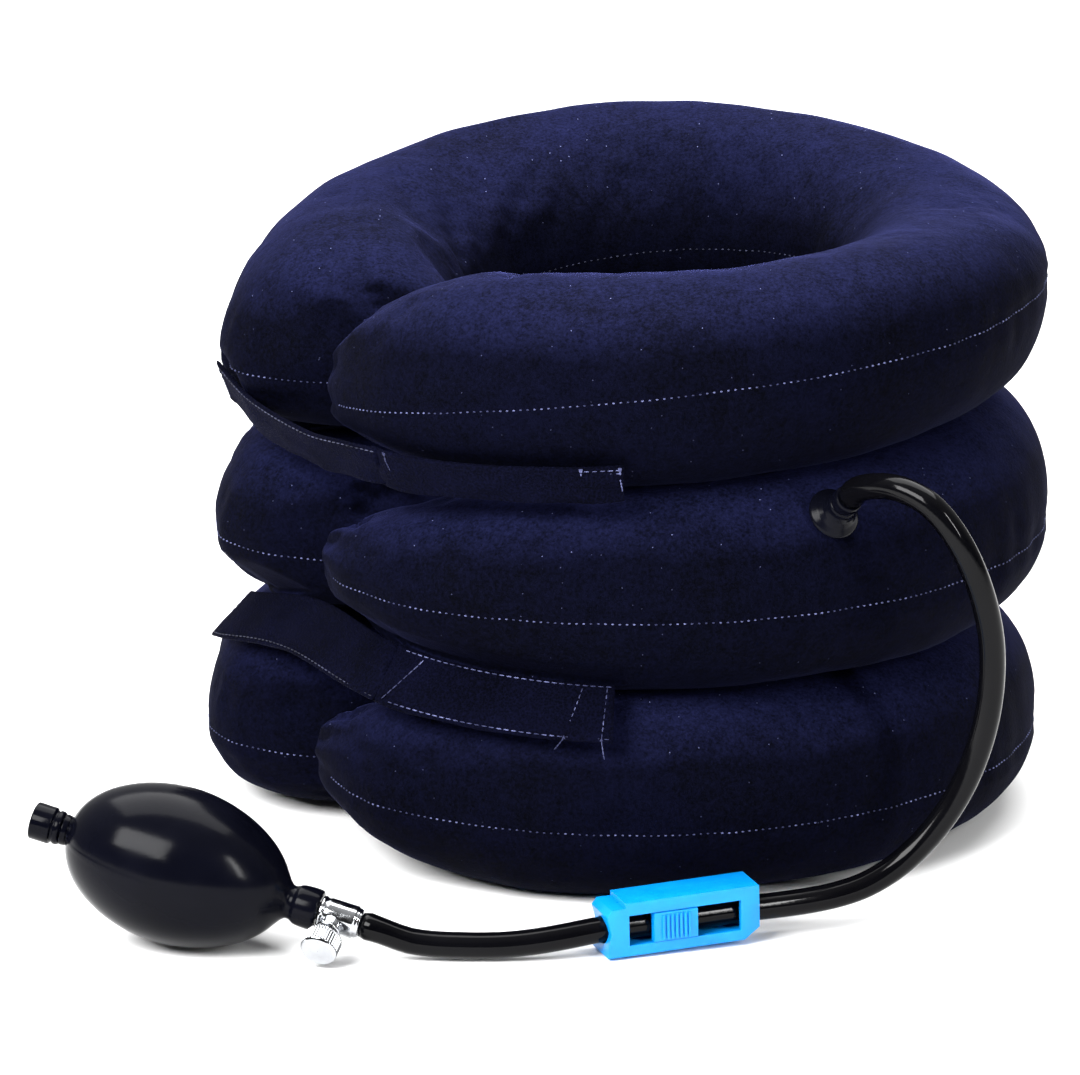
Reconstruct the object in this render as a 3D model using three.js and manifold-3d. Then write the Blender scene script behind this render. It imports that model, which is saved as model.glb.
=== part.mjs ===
// Inflatable three-tier neck collar with straps, air hose, slide clamp, release valve and squeeze bulb.
// Millimetres, +Z up. The viewer's side is -Y. The collar stands inflated on z = 0.
import * as THREE from 'three';
import { mergeVertices } from 'three/addons/utils/BufferGeometryUtils.js';
import Module from 'manifold-3d';

const wasm = await Module();
wasm.setup();

// ---------- driving dimensions ----------
const COLLAR_CENTRE = [26, 26.3];   // neck axis in the part's frame
const OUTER_RADIUS = 134;           // outer seam of a tier
const INNER_RADIUS = 58;            // inner seam of a tier
const GAP = 0.3;                    // clearance between pieces that touch
const COVER_THICKNESS = 1.6;        // flocked velvet panel
const BLADDER_CLEARANCE = 1.4;      // between a panel and the bladder inside it
const WEB_THICKNESS = 1.2;          // fabric that joins two tiers
const TIER_SPACING = WEB_THICKNESS + 2 * 0.4;
const HOSE_DIAMETER = 8;
const BULB_RADIUS = 24;
const BULB_HALF_LENGTH = 35.5;

// Heights of the seams and contact planes: the level at the neck axis and the slopes along X and Y.
const LEVELS = {
  floor: { level: 0, alongX: 0, alongY: 0 },
  bottomSeam: { level: 26, alongX: 0, alongY: 0 },
  lowerContact: { level: 65, alongX: 0, alongY: 0 },
  middleSeam: { level: 93.5, alongX: 0, alongY: 0 },
  upperContact: { level: 129.5, alongX: 0.053, alongY: 0 },
  topSeam: { level: 163.5, alongX: 0.07, alongY: 0 },
  crown: { level: 198, alongX: 0.045, alongY: 0.06 },
};
const heightAt = (name, plan, offset = 0) => (
  LEVELS[name].level + LEVELS[name].alongX * plan.x + LEVELS[name].alongY * plan.y + offset);

const TIERS = {
  bottom: { base: ['floor', GAP / 2], seam: 'bottomSeam', crown: ['lowerContact', -TIER_SPACING / 2] },
  middle: {
    base: ['lowerContact', TIER_SPACING / 2], seam: 'middleSeam', crown: ['upperContact', -TIER_SPACING / 2],
  },
  top: { base: ['upperContact', TIER_SPACING / 2], seam: 'topSeam', crown: ['crown', 0] },
};

// ---------- colours ----------
const velvet = () => new THREE.MeshStandardMaterial({ color: 0x151a45, roughness: 0.95, metalness: 0 });
const webbing = () => new THREE.MeshStandardMaterial({ color: 0x10143a, roughness: 0.9, metalness: 0 });
const latex = () => new THREE.MeshStandardMaterial({ color: 0xb08a5a, roughness: 0.6, metalness: 0 });
const blackRubber = () => new THREE.MeshStandardMaterial({ color: 0x0c0c0e, roughness: 0.2, metalness: 0 });
const bluePlastic = () => new THREE.MeshStandardMaterial({ color: 0x069fee, roughness: 0.35, metalness: 0 });
const chrome = () => new THREE.MeshStandardMaterial({ color: 0xd8dade, roughness: 0.12, metalness: 1 });
const steel = () => new THREE.MeshStandardMaterial({ color: 0xa8abb0, roughness: 0.25, metalness: 1 });

// ---------- helpers ----------
const collar = new THREE.Group();
collar.position.set(COLLAR_CENTRE[0], COLLAR_CENTRE[1], 0);
const part = new THREE.Group();
part.add(collar);

function addMesh(group, name, geometry, material) {
  const mesh = new THREE.Mesh(geometry, material);
  mesh.name = name;
  group.add(mesh);
  return mesh;
}

const degrees = (angle) => (angle * Math.PI) / 180;
const polar = (radius, angle) => new THREE.Vector2(
  radius * Math.cos(degrees(angle)), radius * Math.sin(degrees(angle)));

function geometryFrom(points, faces) {
  const geometry = new THREE.BufferGeometry();
  const numbers = points.flatMap((p) => [p.x, p.y, p.z]);
  geometry.setAttribute('position', new THREE.Float32BufferAttribute(numbers, 3));
  geometry.setIndex(faces.flat());
  return geometry;
}

// Closed body through a row of closed loops of equal length. Each end is closed by a strip between the two
// halves of its loop, which also suits a thin crescent.
function loft(loops) {
  const count = loops[0].length;
  const faces = [];
  for (let i = 0; i + 1 < loops.length; i += 1) {
    for (let j = 0; j < count; j += 1) {
      const k = (j + 1) % count;
      const [a, b, c, d] = [i * count + j, i * count + k, (i + 1) * count + k, (i + 1) * count + j];
      faces.push([a, b, c], [a, c, d]);
    }
  }
  const last = (loops.length - 1) * count;
  for (let j = 0; j < count / 2 - 1; j += 1) {
    const [a, b, c, d] = [j, j + 1, count - 2 - j, count - 1 - j];
    faces.push([a, c, b], [a, d, c]);
    faces.push([last + a, last + b, last + c], [last + a, last + c, last + d]);
  }
  return outwards(geometryFrom(loops.flat(), faces.filter((f) => new Set(f).size === 3)));
}

function signedVolume(geometry) {
  const p = geometry.getAttribute('position');
  const index = geometry.getIndex();
  const [a, b, c] = [new THREE.Vector3(), new THREE.Vector3(), new THREE.Vector3()];
  let volume = 0;
  for (let i = 0; i < index.count; i += 3) {
    a.fromBufferAttribute(p, index.getX(i));
    b.fromBufferAttribute(p, index.getX(i + 1));
    c.fromBufferAttribute(p, index.getX(i + 2));
    volume += a.dot(b.cross(c)) / 6;
  }
  return volume;
}

function outwards(geometry) {
  if (signedVolume(geometry) < 0) {
    const index = geometry.getIndex();
    for (let i = 0; i < index.count; i += 3) {
      const first = index.getX(i);
      index.setX(i, index.getX(i + 1));
      index.setX(i + 1, first);
    }
  }
  return geometry;
}

function solid(geometry) {
  const bare = geometry.clone();
  bare.deleteAttribute('normal');
  bare.deleteAttribute('uv');
  const merged = mergeVertices(bare, 1e-4);
  return new wasm.Manifold(new wasm.Mesh({
    numProp: 3,
    vertProperties: Float32Array.from(merged.getAttribute('position').array),
    triVerts: Uint32Array.from(merged.getIndex().array),
  }));
}

function geometryOf(manifold) {
  const mesh = manifold.getMesh();
  const geometry = new THREE.BufferGeometry();
  geometry.setAttribute('position', new THREE.BufferAttribute(mesh.vertProperties, 3));
  geometry.setIndex(new THREE.BufferAttribute(mesh.triVerts, 1));
  return geometry;
}

// Round bar from one point to another.
function bar(from, to, radius, sides = 16) {
  const start = new THREE.Vector3(...from);
  const axis = new THREE.Vector3(...to).sub(start);
  const geometry = new THREE.CylinderGeometry(radius, radius, axis.length(), sides);
  geometry.translate(0, axis.length() / 2, 0);
  geometry.applyQuaternion(
    new THREE.Quaternion().setFromUnitVectors(new THREE.Vector3(0, 1, 0), axis.clone().normalize()));
  return geometry.translate(start.x, start.y, start.z);
}

// Turned body about the X axis. The profile is a list of [x, radius].
function turned(profile, sides = 20) {
  const points = profile.map(([x, radius]) => new THREE.Vector2(radius, x));
  return new THREE.LatheGeometry(points, sides).rotateZ(-Math.PI / 2);
}

function box(sizeX, sizeY, sizeZ, x = 0, y = 0, z = 0) {
  return new THREE.BoxGeometry(sizeX, sizeY, sizeZ).translate(x, y, z);
}

// ---------- plan of a tier ----------
// Angles run from the tucked left end, round the back, to the lapping right end: 231 down to -153 degrees.
const LEFT_END = {
  outer: [[68, 229], [79.5, 222.5], [93.5, 214.5], [109, 206.5], [125, 199]],
  inner: [[63.5, 230.5], [60.5, 226], [58.5, 218], [58, 209], [58, 200]],
};
const RIGHT_END = {
  outer: [[OUTER_RADIUS, -112], [133, -122], [128.5, -132], [122, -141], [115.5, -147.5], [110, -152]],
  inner: [[58, -113], [61, -122], [70, -130.5], [82, -137.5], [96.5, -145], [107, -151]],
};
const RING_FROM = 190;
const RING_TO = -101;
const RING_STEPS = 18;

function planEdge(side, radius) {
  const ring = Array.from({ length: RING_STEPS + 1 },
    (_, i) => polar(radius, RING_FROM + ((RING_TO - RING_FROM) * i) / RING_STEPS));
  return [
    ...LEFT_END[side].map(([r, a]) => polar(r, a)), ...ring, ...RIGHT_END[side].map(([r, a]) => polar(r, a)),
  ];
}
const outerEdge = planEdge('outer', OUTER_RADIUS);
const innerEdge = planEdge('inner', INNER_RADIUS);
const STATIONS = outerEdge.length;

// Share of the full height at each station: the ends close to a short upright ridge.
const END_TAPER = 90;
const RIDGE_SHARE = 0.25;
function distanceFromEnd(station) {
  const middle = (i) => outerEdge[i].clone().add(innerEdge[i]).multiplyScalar(0.5);
  const along = (from, to) => {
    let length = 0;
    for (let i = from; i < to; i += 1) length += middle(i).distanceTo(middle(i + 1));
    return length;
  };
  return Math.min(along(0, station), along(station, STATIONS - 1));
}
const heightShare = Array.from({ length: STATIONS }, (_, i) => {
  const grown = Math.sin((Math.PI / 2) * Math.min(1, distanceFromEnd(i) / END_TAPER));
  return RIDGE_SHARE + (1 - RIDGE_SHARE) * grown;
});

// Point of a tier at a station. across runs from -1 (inner seam) to 1 (outer seam); rise from -1 (base) to 1.
function tierPoint(tier, station, across, rise, inset) {
  const outer = outerEdge[station];
  const inner = innerEdge[station];
  const halfWidth = outer.distanceTo(inner) / 2;
  const direction = outer.clone().sub(inner).normalize();
  const reach = Math.max(0.2, halfWidth - inset) * across;
  const plan = outer.clone().add(inner).multiplyScalar(0.5).addScaledVector(direction, reach);
  const seam = heightAt(tier.seam, plan);
  const limit = rise >= 0 ? heightAt(tier.crown[0], plan, tier.crown[1])
    : heightAt(tier.base[0], plan, tier.base[1]);
  const full = (limit - seam) * heightShare[station];
  const height = Math.sign(full) * Math.max(0.5, Math.abs(full) - inset);
  return new THREE.Vector3(plan.x, plan.y, seam + height * Math.abs(rise));
}

// Rounded-box oval: angle 0 at the outer seam, 90 at the crown. The crown is pressed flat over its middle.
const OVAL_POWER = 0.92;
const PRESSED = 1.035;
function oval(angle) {
  const cosine = Math.cos(degrees(angle));
  const sine = Math.sin(degrees(angle));
  const rise = Math.sign(sine) * Math.min(1, PRESSED * Math.abs(sine) ** OVAL_POWER);
  return { across: Math.sign(cosine) * Math.abs(cosine) ** OVAL_POWER, rise };
}

const PANEL_ANGLES = [0, 30, 58, 80, 100, 122, 150, 180];
function coverPanel(tier, side) {
  const loops = [];
  for (let station = 0; station < STATIONS; station += 1) {
    const edgeGap = new THREE.Vector3(0, 0, (side * GAP) / 2);
    const skin = (inset) => PANEL_ANGLES.map((angle) => {
      const { across, rise } = oval(side * angle);
      return tierPoint(tier, station, across, rise, inset).add(edgeGap);
    });
    loops.push([...skin(0), ...skin(COVER_THICKNESS).reverse()]);
  }
  return loft(loops);
}

const UPPER_ANGLES = PANEL_ANGLES.slice(0, -1);
const BLADDER_ANGLES = [...UPPER_ANGLES, ...UPPER_ANGLES.map((angle) => angle + 180)];
const BLADDER_SKIP = 2; // the bladder stops short of the ends of the cover
function bladder(tier) {
  const loops = [];
  for (let station = BLADDER_SKIP; station < STATIONS - BLADDER_SKIP; station += 1) {
    loops.push(BLADDER_ANGLES.map((angle) => {
      const { across, rise } = oval(angle);
      return tierPoint(tier, station, across, rise, COVER_THICKNESS + BLADDER_CLEARANCE);
    }));
  }
  return loft(loops);
}

// ---------- port on the middle tier ----------
// The port stands square to the shoulder of the middle tier: it points out and up.
const PORT_ANGLE = -62;
const PORT_LIFT = 38;
const PORT_SEAT = polar(124.6, PORT_ANGLE);
const PORT_SEAT_HEIGHT = 120.6;
const PORT_TIP = 15;        // end face of the nozzle, where the hose butts on
const PORT_HOLE_RADIUS = 4.4;
const portGroup = new THREE.Group();
portGroup.position.set(PORT_SEAT.x, PORT_SEAT.y, PORT_SEAT_HEIGHT);
portGroup.rotation.order = 'ZYX';
portGroup.rotation.set(0, -degrees(PORT_LIFT), degrees(PORT_ANGLE));
portGroup.updateMatrix();
const portPoint = (along) => new THREE.Vector3(along, 0, 0).applyMatrix4(portGroup.matrix).toArray();

// ---------- air links between the bladders, at the back ----------
const LINK_ANGLE = 90;
const LINK_PLAN = polar((OUTER_RADIUS + INNER_RADIUS) / 2, LINK_ANGLE);
const LINK_RADIUS = 4;
const LINK_HOLE_RADIUS = 4.6;
const LINK_REACH = 12;
const linkBar = (contact, radius) => {
  const z = heightAt(contact, LINK_PLAN);
  const [from, to] = [z - LINK_REACH / 2, z + LINK_REACH / 2];
  return bar([LINK_PLAN.x, LINK_PLAN.y, from], [LINK_PLAN.x, LINK_PLAN.y, to], radius);
};

// ---------- tiers ----------
const cutters = {
  top_lower: [linkBar('upperContact', LINK_HOLE_RADIUS)],
  middle_upper: [
    linkBar('upperContact', LINK_HOLE_RADIUS), bar(portPoint(-12), portPoint(12), PORT_HOLE_RADIUS),
  ],
  middle_lower: [linkBar('lowerContact', LINK_HOLE_RADIUS)],
  bottom_upper: [linkBar('lowerContact', LINK_HOLE_RADIUS)],
  top_bladder: [linkBar('upperContact', LINK_HOLE_RADIUS)],
  middle_bladder: [
    linkBar('upperContact', LINK_HOLE_RADIUS), linkBar('lowerContact', LINK_HOLE_RADIUS),
    bar(portPoint(-10), portPoint(12), PORT_HOLE_RADIUS),
  ],
  bottom_bladder: [linkBar('lowerContact', LINK_HOLE_RADIUS)],
};
function cut(geometry, tools = []) {
  return tools.length ? geometryOf(tools.reduce((body, tool) => body.subtract(solid(tool)), solid(geometry)))
    : geometry;
}
for (const [name, tier] of Object.entries(TIERS)) {
  const upper = cut(coverPanel(tier, 1), cutters[`${name}_upper`]);
  const lower = cut(coverPanel(tier, -1), cutters[`${name}_lower`]);
  addMesh(collar, `${name}_tier_upper_panel`, upper, velvet());
  addMesh(collar, `${name}_tier_lower_panel`, lower, velvet());
  addMesh(collar, `${name}_bladder`, cut(bladder(tier), cutters[`${name}_bladder`]), latex());
}

// ---------- webs and air links ----------
const WEB_HALF_WIDTH = 9;
function joinWeb(contact) {
  const middle = (OUTER_RADIUS + INNER_RADIUS) / 2;
  const loops = [];
  for (let i = 0; i <= RING_STEPS; i += 1) {
    const angle = RING_FROM + ((RING_TO - RING_FROM) * i) / RING_STEPS;
    const corner = (radius, offset) => {
      const p = polar(radius, angle);
      return new THREE.Vector3(p.x, p.y, heightAt(contact, p) + offset);
    };
    loops.push([
      corner(middle - WEB_HALF_WIDTH, -WEB_THICKNESS / 2),
      corner(middle + WEB_HALF_WIDTH, -WEB_THICKNESS / 2),
      corner(middle + WEB_HALF_WIDTH, WEB_THICKNESS / 2), corner(middle - WEB_HALF_WIDTH, WEB_THICKNESS / 2),
    ]);
  }
  return cut(loft(loops), [linkBar(contact, LINK_HOLE_RADIUS)]);
}
const airLink = (contact) => cut(linkBar(contact, LINK_RADIUS), [
  linkBar(contact, LINK_RADIUS / 2).translate(0, 0, -1), linkBar(contact, LINK_RADIUS / 2).translate(0, 0, 1),
]);
for (const [name, contact] of [['lower', 'lowerContact'], ['upper', 'upperContact']]) {
  addMesh(collar, `${name}_join_web`, joinWeb(contact), webbing());
  addMesh(collar, `${name}_air_link`, airLink(contact), latex());
}

// ---------- straps ----------
// Each point of a strap: radius and angle of its lower edge, and that edge's height above the contact plane.
const STRAP_THICKNESS = 1.5;
const STRAP_RISE = 12;
const STRAPS = {
  lower: {
    contact: 'lowerContact',
    lean: -11,
    base: [
      [134.6, -93.3, -8.9], [135, -99, -8.4], [135, -106, -7.6], [134.9, -113, -6.6], [134.4, -120, -5.4],
      [133.6, -126.2, -4.2],
    ],
    flap: [
      [133.4, -127.4, -4], [129.5, -134, -3.2], [125.5, -142, -2.4], [123.6, -150, -2.4], [125, -158, -3.8],
      [129, -165, -6.4], [133.4, -171, -9.4], [135.4, -176, -12],
    ],
    pad: [[131.6, -173, -10.6], [132.2, -176, -12.2], [132.6, -179, -13]],
  },
  upper: {
    contact: 'upperContact',
    lean: 5,
    base: [
      [127.5, -92, 2], [127.8, -99, 2], [127.8, -106, 2], [127.6, -113, 2.2], [127, -120, 2.6],
      [126, -126.2, 3.2],
    ],
    flap: [
      [125.8, -127.4, 3.4], [123.4, -134, 4], [121, -142, 5], [120.4, -150, 6], [121.8, -158, 7],
      [125, -165, 7.6], [128.4, -171, 8], [130.4, -176, 8.4],
    ],
    pad: [[127.6, -173, 9.4], [128.4, -176, 9.6], [129, -179, 9.8]],
  },
};
function band(line, contact, lean, rise, thickness) {
  return loft(line.map(([radius, angle, height]) => {
    const corner = (extraRadius, extraHeight) => {
      const p = polar(radius + extraRadius, angle);
      return new THREE.Vector3(p.x, p.y, heightAt(contact, p) + height + extraHeight);
    };
    return [corner(0, 0), corner(thickness, 0), corner(lean + thickness, rise), corner(lean, rise)];
  }));
}
const PAD_RISE = 8;
for (const [name, strap] of Object.entries(STRAPS)) {
  const cloth = (line) => band(line, strap.contact, strap.lean, STRAP_RISE, STRAP_THICKNESS);
  addMesh(collar, `${name}_strap_base`, cloth(strap.base), webbing());
  addMesh(collar, `${name}_strap_flap`, cloth(strap.flap), webbing());
  const pad = band(strap.pad, strap.contact, (strap.lean * PAD_RISE) / STRAP_RISE, PAD_RISE, 0.8);
  addMesh(collar, `${name}_hook_pad`, pad, webbing());
}

// ---------- air port ----------
// Turned profiles are lists of [distance along the port, radius].
const NOZZLE_RADIUS = 2.6;
const NOZZLE_BORE = 1.4;
const PORT_CUP = [[2.6, 3], [2.6, 6.9], [3.6, 7], [7.4, 5.1], [10.6, 3.9], [10.6, 3]];
const PORT_NOZZLE = [
  [-7, NOZZLE_BORE], [-7, NOZZLE_RADIUS], [PORT_TIP, NOZZLE_RADIUS], [PORT_TIP, NOZZLE_BORE],
];
const PORT_SLEEVE = [[10.9, 3], [10.9, 4.3], [PORT_TIP, 4.3], [PORT_TIP, 3]];
const PORT_WASHER = [[-5.6, 3], [-5.6, 4], [-4, 4], [-4, 3]];
const closeLoop = (profile) => [...profile, profile[0]];
collar.add(portGroup);
addMesh(portGroup, 'port_cup', turned(closeLoop(PORT_CUP)), blackRubber());
addMesh(portGroup, 'port_nozzle', turned(closeLoop(PORT_NOZZLE), 16), blackRubber());
addMesh(portGroup, 'port_sleeve', turned(closeLoop(PORT_SLEEVE)), blackRubber());
addMesh(portGroup, 'port_washer', turned(closeLoop(PORT_WASHER), 16), steel());

// ---------- squeeze bulb with its valves, lying on the floor ----------
// In the bulb's own group X runs along its axis, from the intake to the outlet.
const BULB_CENTRE = [-139.5, -158.5, 24.85]; // from the neck axis
const BULB_HEADING = -13;    // turn in plan
const BULB_TILT = 14;        // the valve end leans down
const BULB_WALL = 2.4;
const INTAKE_NECK_RADIUS = 4.6;
const OUTLET_NECK_RADIUS = 6.2;
const OUTLET_NECK_END = 45.5;
const NECK_BORE = 3;
const bulbGroup = new THREE.Group();
bulbGroup.position.set(...BULB_CENTRE);
bulbGroup.rotation.order = 'ZYX';
bulbGroup.rotation.set(0, degrees(BULB_TILT), degrees(BULB_HEADING));
collar.add(bulbGroup);

// Egg outline: blunt at the intake end, drawn out at the outlet end.
function eggOutline(inset, from, to, steps) {
  return Array.from({ length: steps + 1 }, (_, i) => {
    const share = from + ((to - from) * i) / steps;
    const fullness = share < 0 ? 2.1 : 1.8;
    const radius = (BULB_RADIUS - inset) * (1 - Math.abs(share) ** fullness) ** 0.5;
    return [share * (BULB_HALF_LENGTH - inset), Math.max(radius, NECK_BORE + inset / 2)];
  });
}
const INTAKE_FACE = -BULB_HALF_LENGTH - 1.5;
const BULB_PROFILE = [
  [INTAKE_FACE, NECK_BORE], [INTAKE_FACE, INTAKE_NECK_RADIUS], ...eggOutline(0, -0.98, 0.955, 13),
  [BULB_HALF_LENGTH + 1, OUTLET_NECK_RADIUS], [OUTLET_NECK_END, OUTLET_NECK_RADIUS],
  [OUTLET_NECK_END, NECK_BORE],
  ...eggOutline(BULB_WALL, -0.985, 0.985, 9).reverse(),
];
addMesh(bulbGroup, 'bulb_shell', turned(closeLoop(BULB_PROFILE), 24), blackRubber());

// Intake valve: a cap with a grooved rim, its stem in the neck, a check ball and a retaining ring.
const fromIntake = (profile) => profile.map(([x, radius]) => [INTAKE_FACE + x, radius]);
const INTAKE_HOUSING = fromIntake([
  [-9, 1.2], [-9.8, 2.4], [-9.8, 5.1], [-9.3, 5.6], [-4.6, 5.6], [-4.2, 4.9], [-3.2, 4.9], [-2.8, 5.6],
  [-1.4, 5.6], [-0.3, 4.9], [-0.3, 2.7], [8, 2.7], [8, 2.1], [-6.6, 2.1], [-8.2, 1.2],
]);
const INTAKE_RETAINER = fromIntake([[6.2, 0.7], [6.2, 1.8], [7, 1.8], [7, 0.7]]);
const INTAKE_BALL_AT = INTAKE_FACE - 6.6;   // seated
addMesh(bulbGroup, 'intake_housing', turned(closeLoop(INTAKE_HOUSING), 16), blackRubber());
addMesh(bulbGroup, 'intake_retainer', turned(closeLoop(INTAKE_RETAINER), 16), steel());
const ball = (radius, x) => new THREE.SphereGeometry(radius, 12, 8).translate(x, 0, 0);
addMesh(bulbGroup, 'intake_ball', ball(1.7, INTAKE_BALL_AT), steel());

// Valve body: a barrel on the bulb's axis with a side boss for the release screw. Its group is turned about
// the axis, so that the boss points along +Y there.
const BOSS_TURN = 206;
const BARREL_RADIUS = 5;
const BOSS_TOP = 7.4;
const HOSE_FACE = OUTLET_NECK_END + 13.2;
const SCREW_X = OUTLET_NECK_END + 4.9;
const fromNeck = (profile) => profile.map(([x, radius]) => [OUTLET_NECK_END + x, radius]);
const BARREL_PROFILE = fromNeck([
  [-11.5, 0.9], [-11.5, 2.1], [-8.5, 2.7], [0.3, 2.7], [0.3, BARREL_RADIUS], [12.2, BARREL_RADIUS],
  [12.8, 4.4], [13.2, 4.4], [13.2, 1.3], [9.8, 1.3], [9.8, 0.9], [4.3, 0.9], [4.3, 2], [-3, 2], [-3, 0.9],
]);
const valveGroup = new THREE.Group();
valveGroup.rotation.x = degrees(BOSS_TURN);
bulbGroup.add(valveGroup);
const barrel = solid(turned(closeLoop(BARREL_PROFILE), 20));
const boss = solid(bar([SCREW_X, 2, 0], [SCREW_X, BOSS_TOP, 0], 3.6, 20));
const screwBore = solid(bar([SCREW_X, 1.2, 0], [SCREW_X, BOSS_TOP + 1, 0], 2.4, 20));
addMesh(valveGroup, 'valve_body', geometryOf(barrel.add(boss).subtract(screwBore)), chrome());

// Outlet check ball, pressed to its seat by a spring in the barrel.
const OUTLET_BALL_AT = OUTLET_NECK_END - 1.65;   // seated
const SPRING_SEAT = fromNeck([[3, 0.8], [3, 1.7], [4, 1.7], [4, 0.8]]);
addMesh(valveGroup, 'outlet_ball', ball(1.5, OUTLET_BALL_AT), steel());
addMesh(valveGroup, 'outlet_spring_seat', turned(closeLoop(SPRING_SEAT), 16), steel());

// Release screw: knurled knob on a threaded shank, a needle in its tip, and the seal ring it carries.
const KNOB_RADIUS = 5.7;
const KNURL_DEPTH = 0.45;
const KNURLS = 20;
const KNOB_FROM = 9.4;
const KNOB_TO = 16;
const SHANK_RADIUS = 1.45;
const SHANK_FROM = 3.8;
const SEAL_AT = 5.6;
function knurledKnob() {
  const outline = new THREE.Shape();
  for (let i = 0; i < KNURLS * 2; i += 1) {
    const p = polar(i % 2 ? KNOB_RADIUS - KNURL_DEPTH : KNOB_RADIUS, (180 * i) / KNURLS);
    if (i === 0) outline.moveTo(p.x, p.y);
    else outline.lineTo(p.x, p.y);
  }
  const grip = new THREE.ExtrudeGeometry(outline, { depth: KNOB_TO - KNOB_FROM, bevelEnabled: false });
  grip.rotateX(-Math.PI / 2).translate(SCREW_X, KNOB_FROM, 0);
  const collarRing = bar([SCREW_X, KNOB_FROM - 1.2, 0], [SCREW_X, KNOB_FROM + 1, 0], 3.2, 16);
  const shank = bar([SCREW_X, SHANK_FROM, 0], [SCREW_X, KNOB_FROM + 1, 0], SHANK_RADIUS, 16);
  return geometryOf(solid(grip).add(solid(collarRing)).add(solid(shank)));
}
addMesh(valveGroup, 'release_knob', knurledKnob(), chrome());
const needle = bar([SCREW_X, SHANK_FROM - 1.9, 0], [SCREW_X, SHANK_FROM - GAP, 0], 0.7, 12);
addMesh(valveGroup, 'release_needle', needle, steel());
const sealRing = new THREE.TorusGeometry(1.93, 0.36, 6, 16);
sealRing.rotateX(Math.PI / 2).translate(SCREW_X, SEAL_AT, 0);
addMesh(valveGroup, 'seal_ring', sealRing, blackRubber());

// ---------- slide clamp on the hose ----------
// In the clamp's own group X runs along the hose, and its window side faces -Y.
const CLAMP_LEFT = new THREE.Vector3(-13, -168.1, 7.6); // where the hose enters, from the neck axis
const CLAMP_RIGHT = new THREE.Vector3(35.4, -151.1, 9);
const CLAMP_LENGTH = CLAMP_LEFT.distanceTo(CLAMP_RIGHT);
const CLAMP_DEPTH = 14;
const CLAMP_BELOW = 7.2;     // from the hose's axis down to the clamp's foot
const CLAMP_ABOVE = 9.6;
const CLAMP_WALL = 1.8;
const clampGroup = new THREE.Group();
const clampRun = CLAMP_RIGHT.clone().sub(CLAMP_LEFT);
clampGroup.position.copy(CLAMP_LEFT).addScaledVector(clampRun, 0.5);
clampGroup.rotation.order = 'ZYX';
clampGroup.rotation.set(0, -Math.asin(clampRun.z / CLAMP_LENGTH), Math.atan2(clampRun.y, clampRun.x));
collar.add(clampGroup);

const CLAMP_CAVITY = CLAMP_DEPTH - 2 * CLAMP_WALL;
const HOSE_CLEARANCE = HOSE_DIAMETER / 2 + GAP;
function clampBody() {
  const outline = new THREE.Shape([
    [-24.5, -CLAMP_BELOW], [19.5, -CLAMP_BELOW], [24.5, -3.6], [24.5, CLAMP_ABOVE], [-18.5, CLAMP_ABOVE],
    [-18.5, 8], [-23, 8], [-24.5, 6], [-23.2, 0],
  ].map(([x, z]) => new THREE.Vector2(x, z)));
  const blank = new THREE.ExtrudeGeometry(outline, { depth: CLAMP_DEPTH, bevelEnabled: false });
  blank.rotateX(Math.PI / 2).translate(0, CLAMP_DEPTH / 2, 0);
  const cavity = box(41, CLAMP_CAVITY, 12.6, 0.5, 0, 1.6);
  const window = box(36, CLAMP_DEPTH, 9.6, 0.5, -CLAMP_WALL - 1, 0.8);
  const endSlot = box(2.4, CLAMP_DEPTH, 4.6, 17, CLAMP_WALL + 1, 3.2);
  const bore = bar([-40, 0, 0], [40, 0, 0], HOSE_CLEARANCE, 20);
  const cuts = [cavity, window, endSlot, bore];
  return geometryOf(cuts.reduce((body, tool) => body.subtract(solid(tool)), solid(blank)));
}
addMesh(clampGroup, 'clamp_body', clampBody(), bluePlastic());

const SLIDER_X = -2.6;
const SLIDER_LENGTH = 14;
const RIB_COUNT = 7;
function clampSlider() {
  const plate = solid(box(SLIDER_LENGTH, 2.6, 9, SLIDER_X, -6.1, 0.8));
  const flange = solid(box(SLIDER_LENGTH, 0.5, 11.8, SLIDER_X, -4.8, 1.6));
  const presser = solid(box(SLIDER_LENGTH, 9.6, 3, SLIDER_X, -0.25, 6));
  let slider = plate.add(flange).add(presser);
  for (let i = 0; i < RIB_COUNT; i += 1) {
    slider = slider.add(solid(box(0.7, 1, 7.6, SLIDER_X + (i - (RIB_COUNT - 1) / 2) * 1.4, -7.6, 0.8)));
  }
  return geometryOf(slider);
}
addMesh(clampGroup, 'clamp_slider', clampSlider(), bluePlastic());

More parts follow.
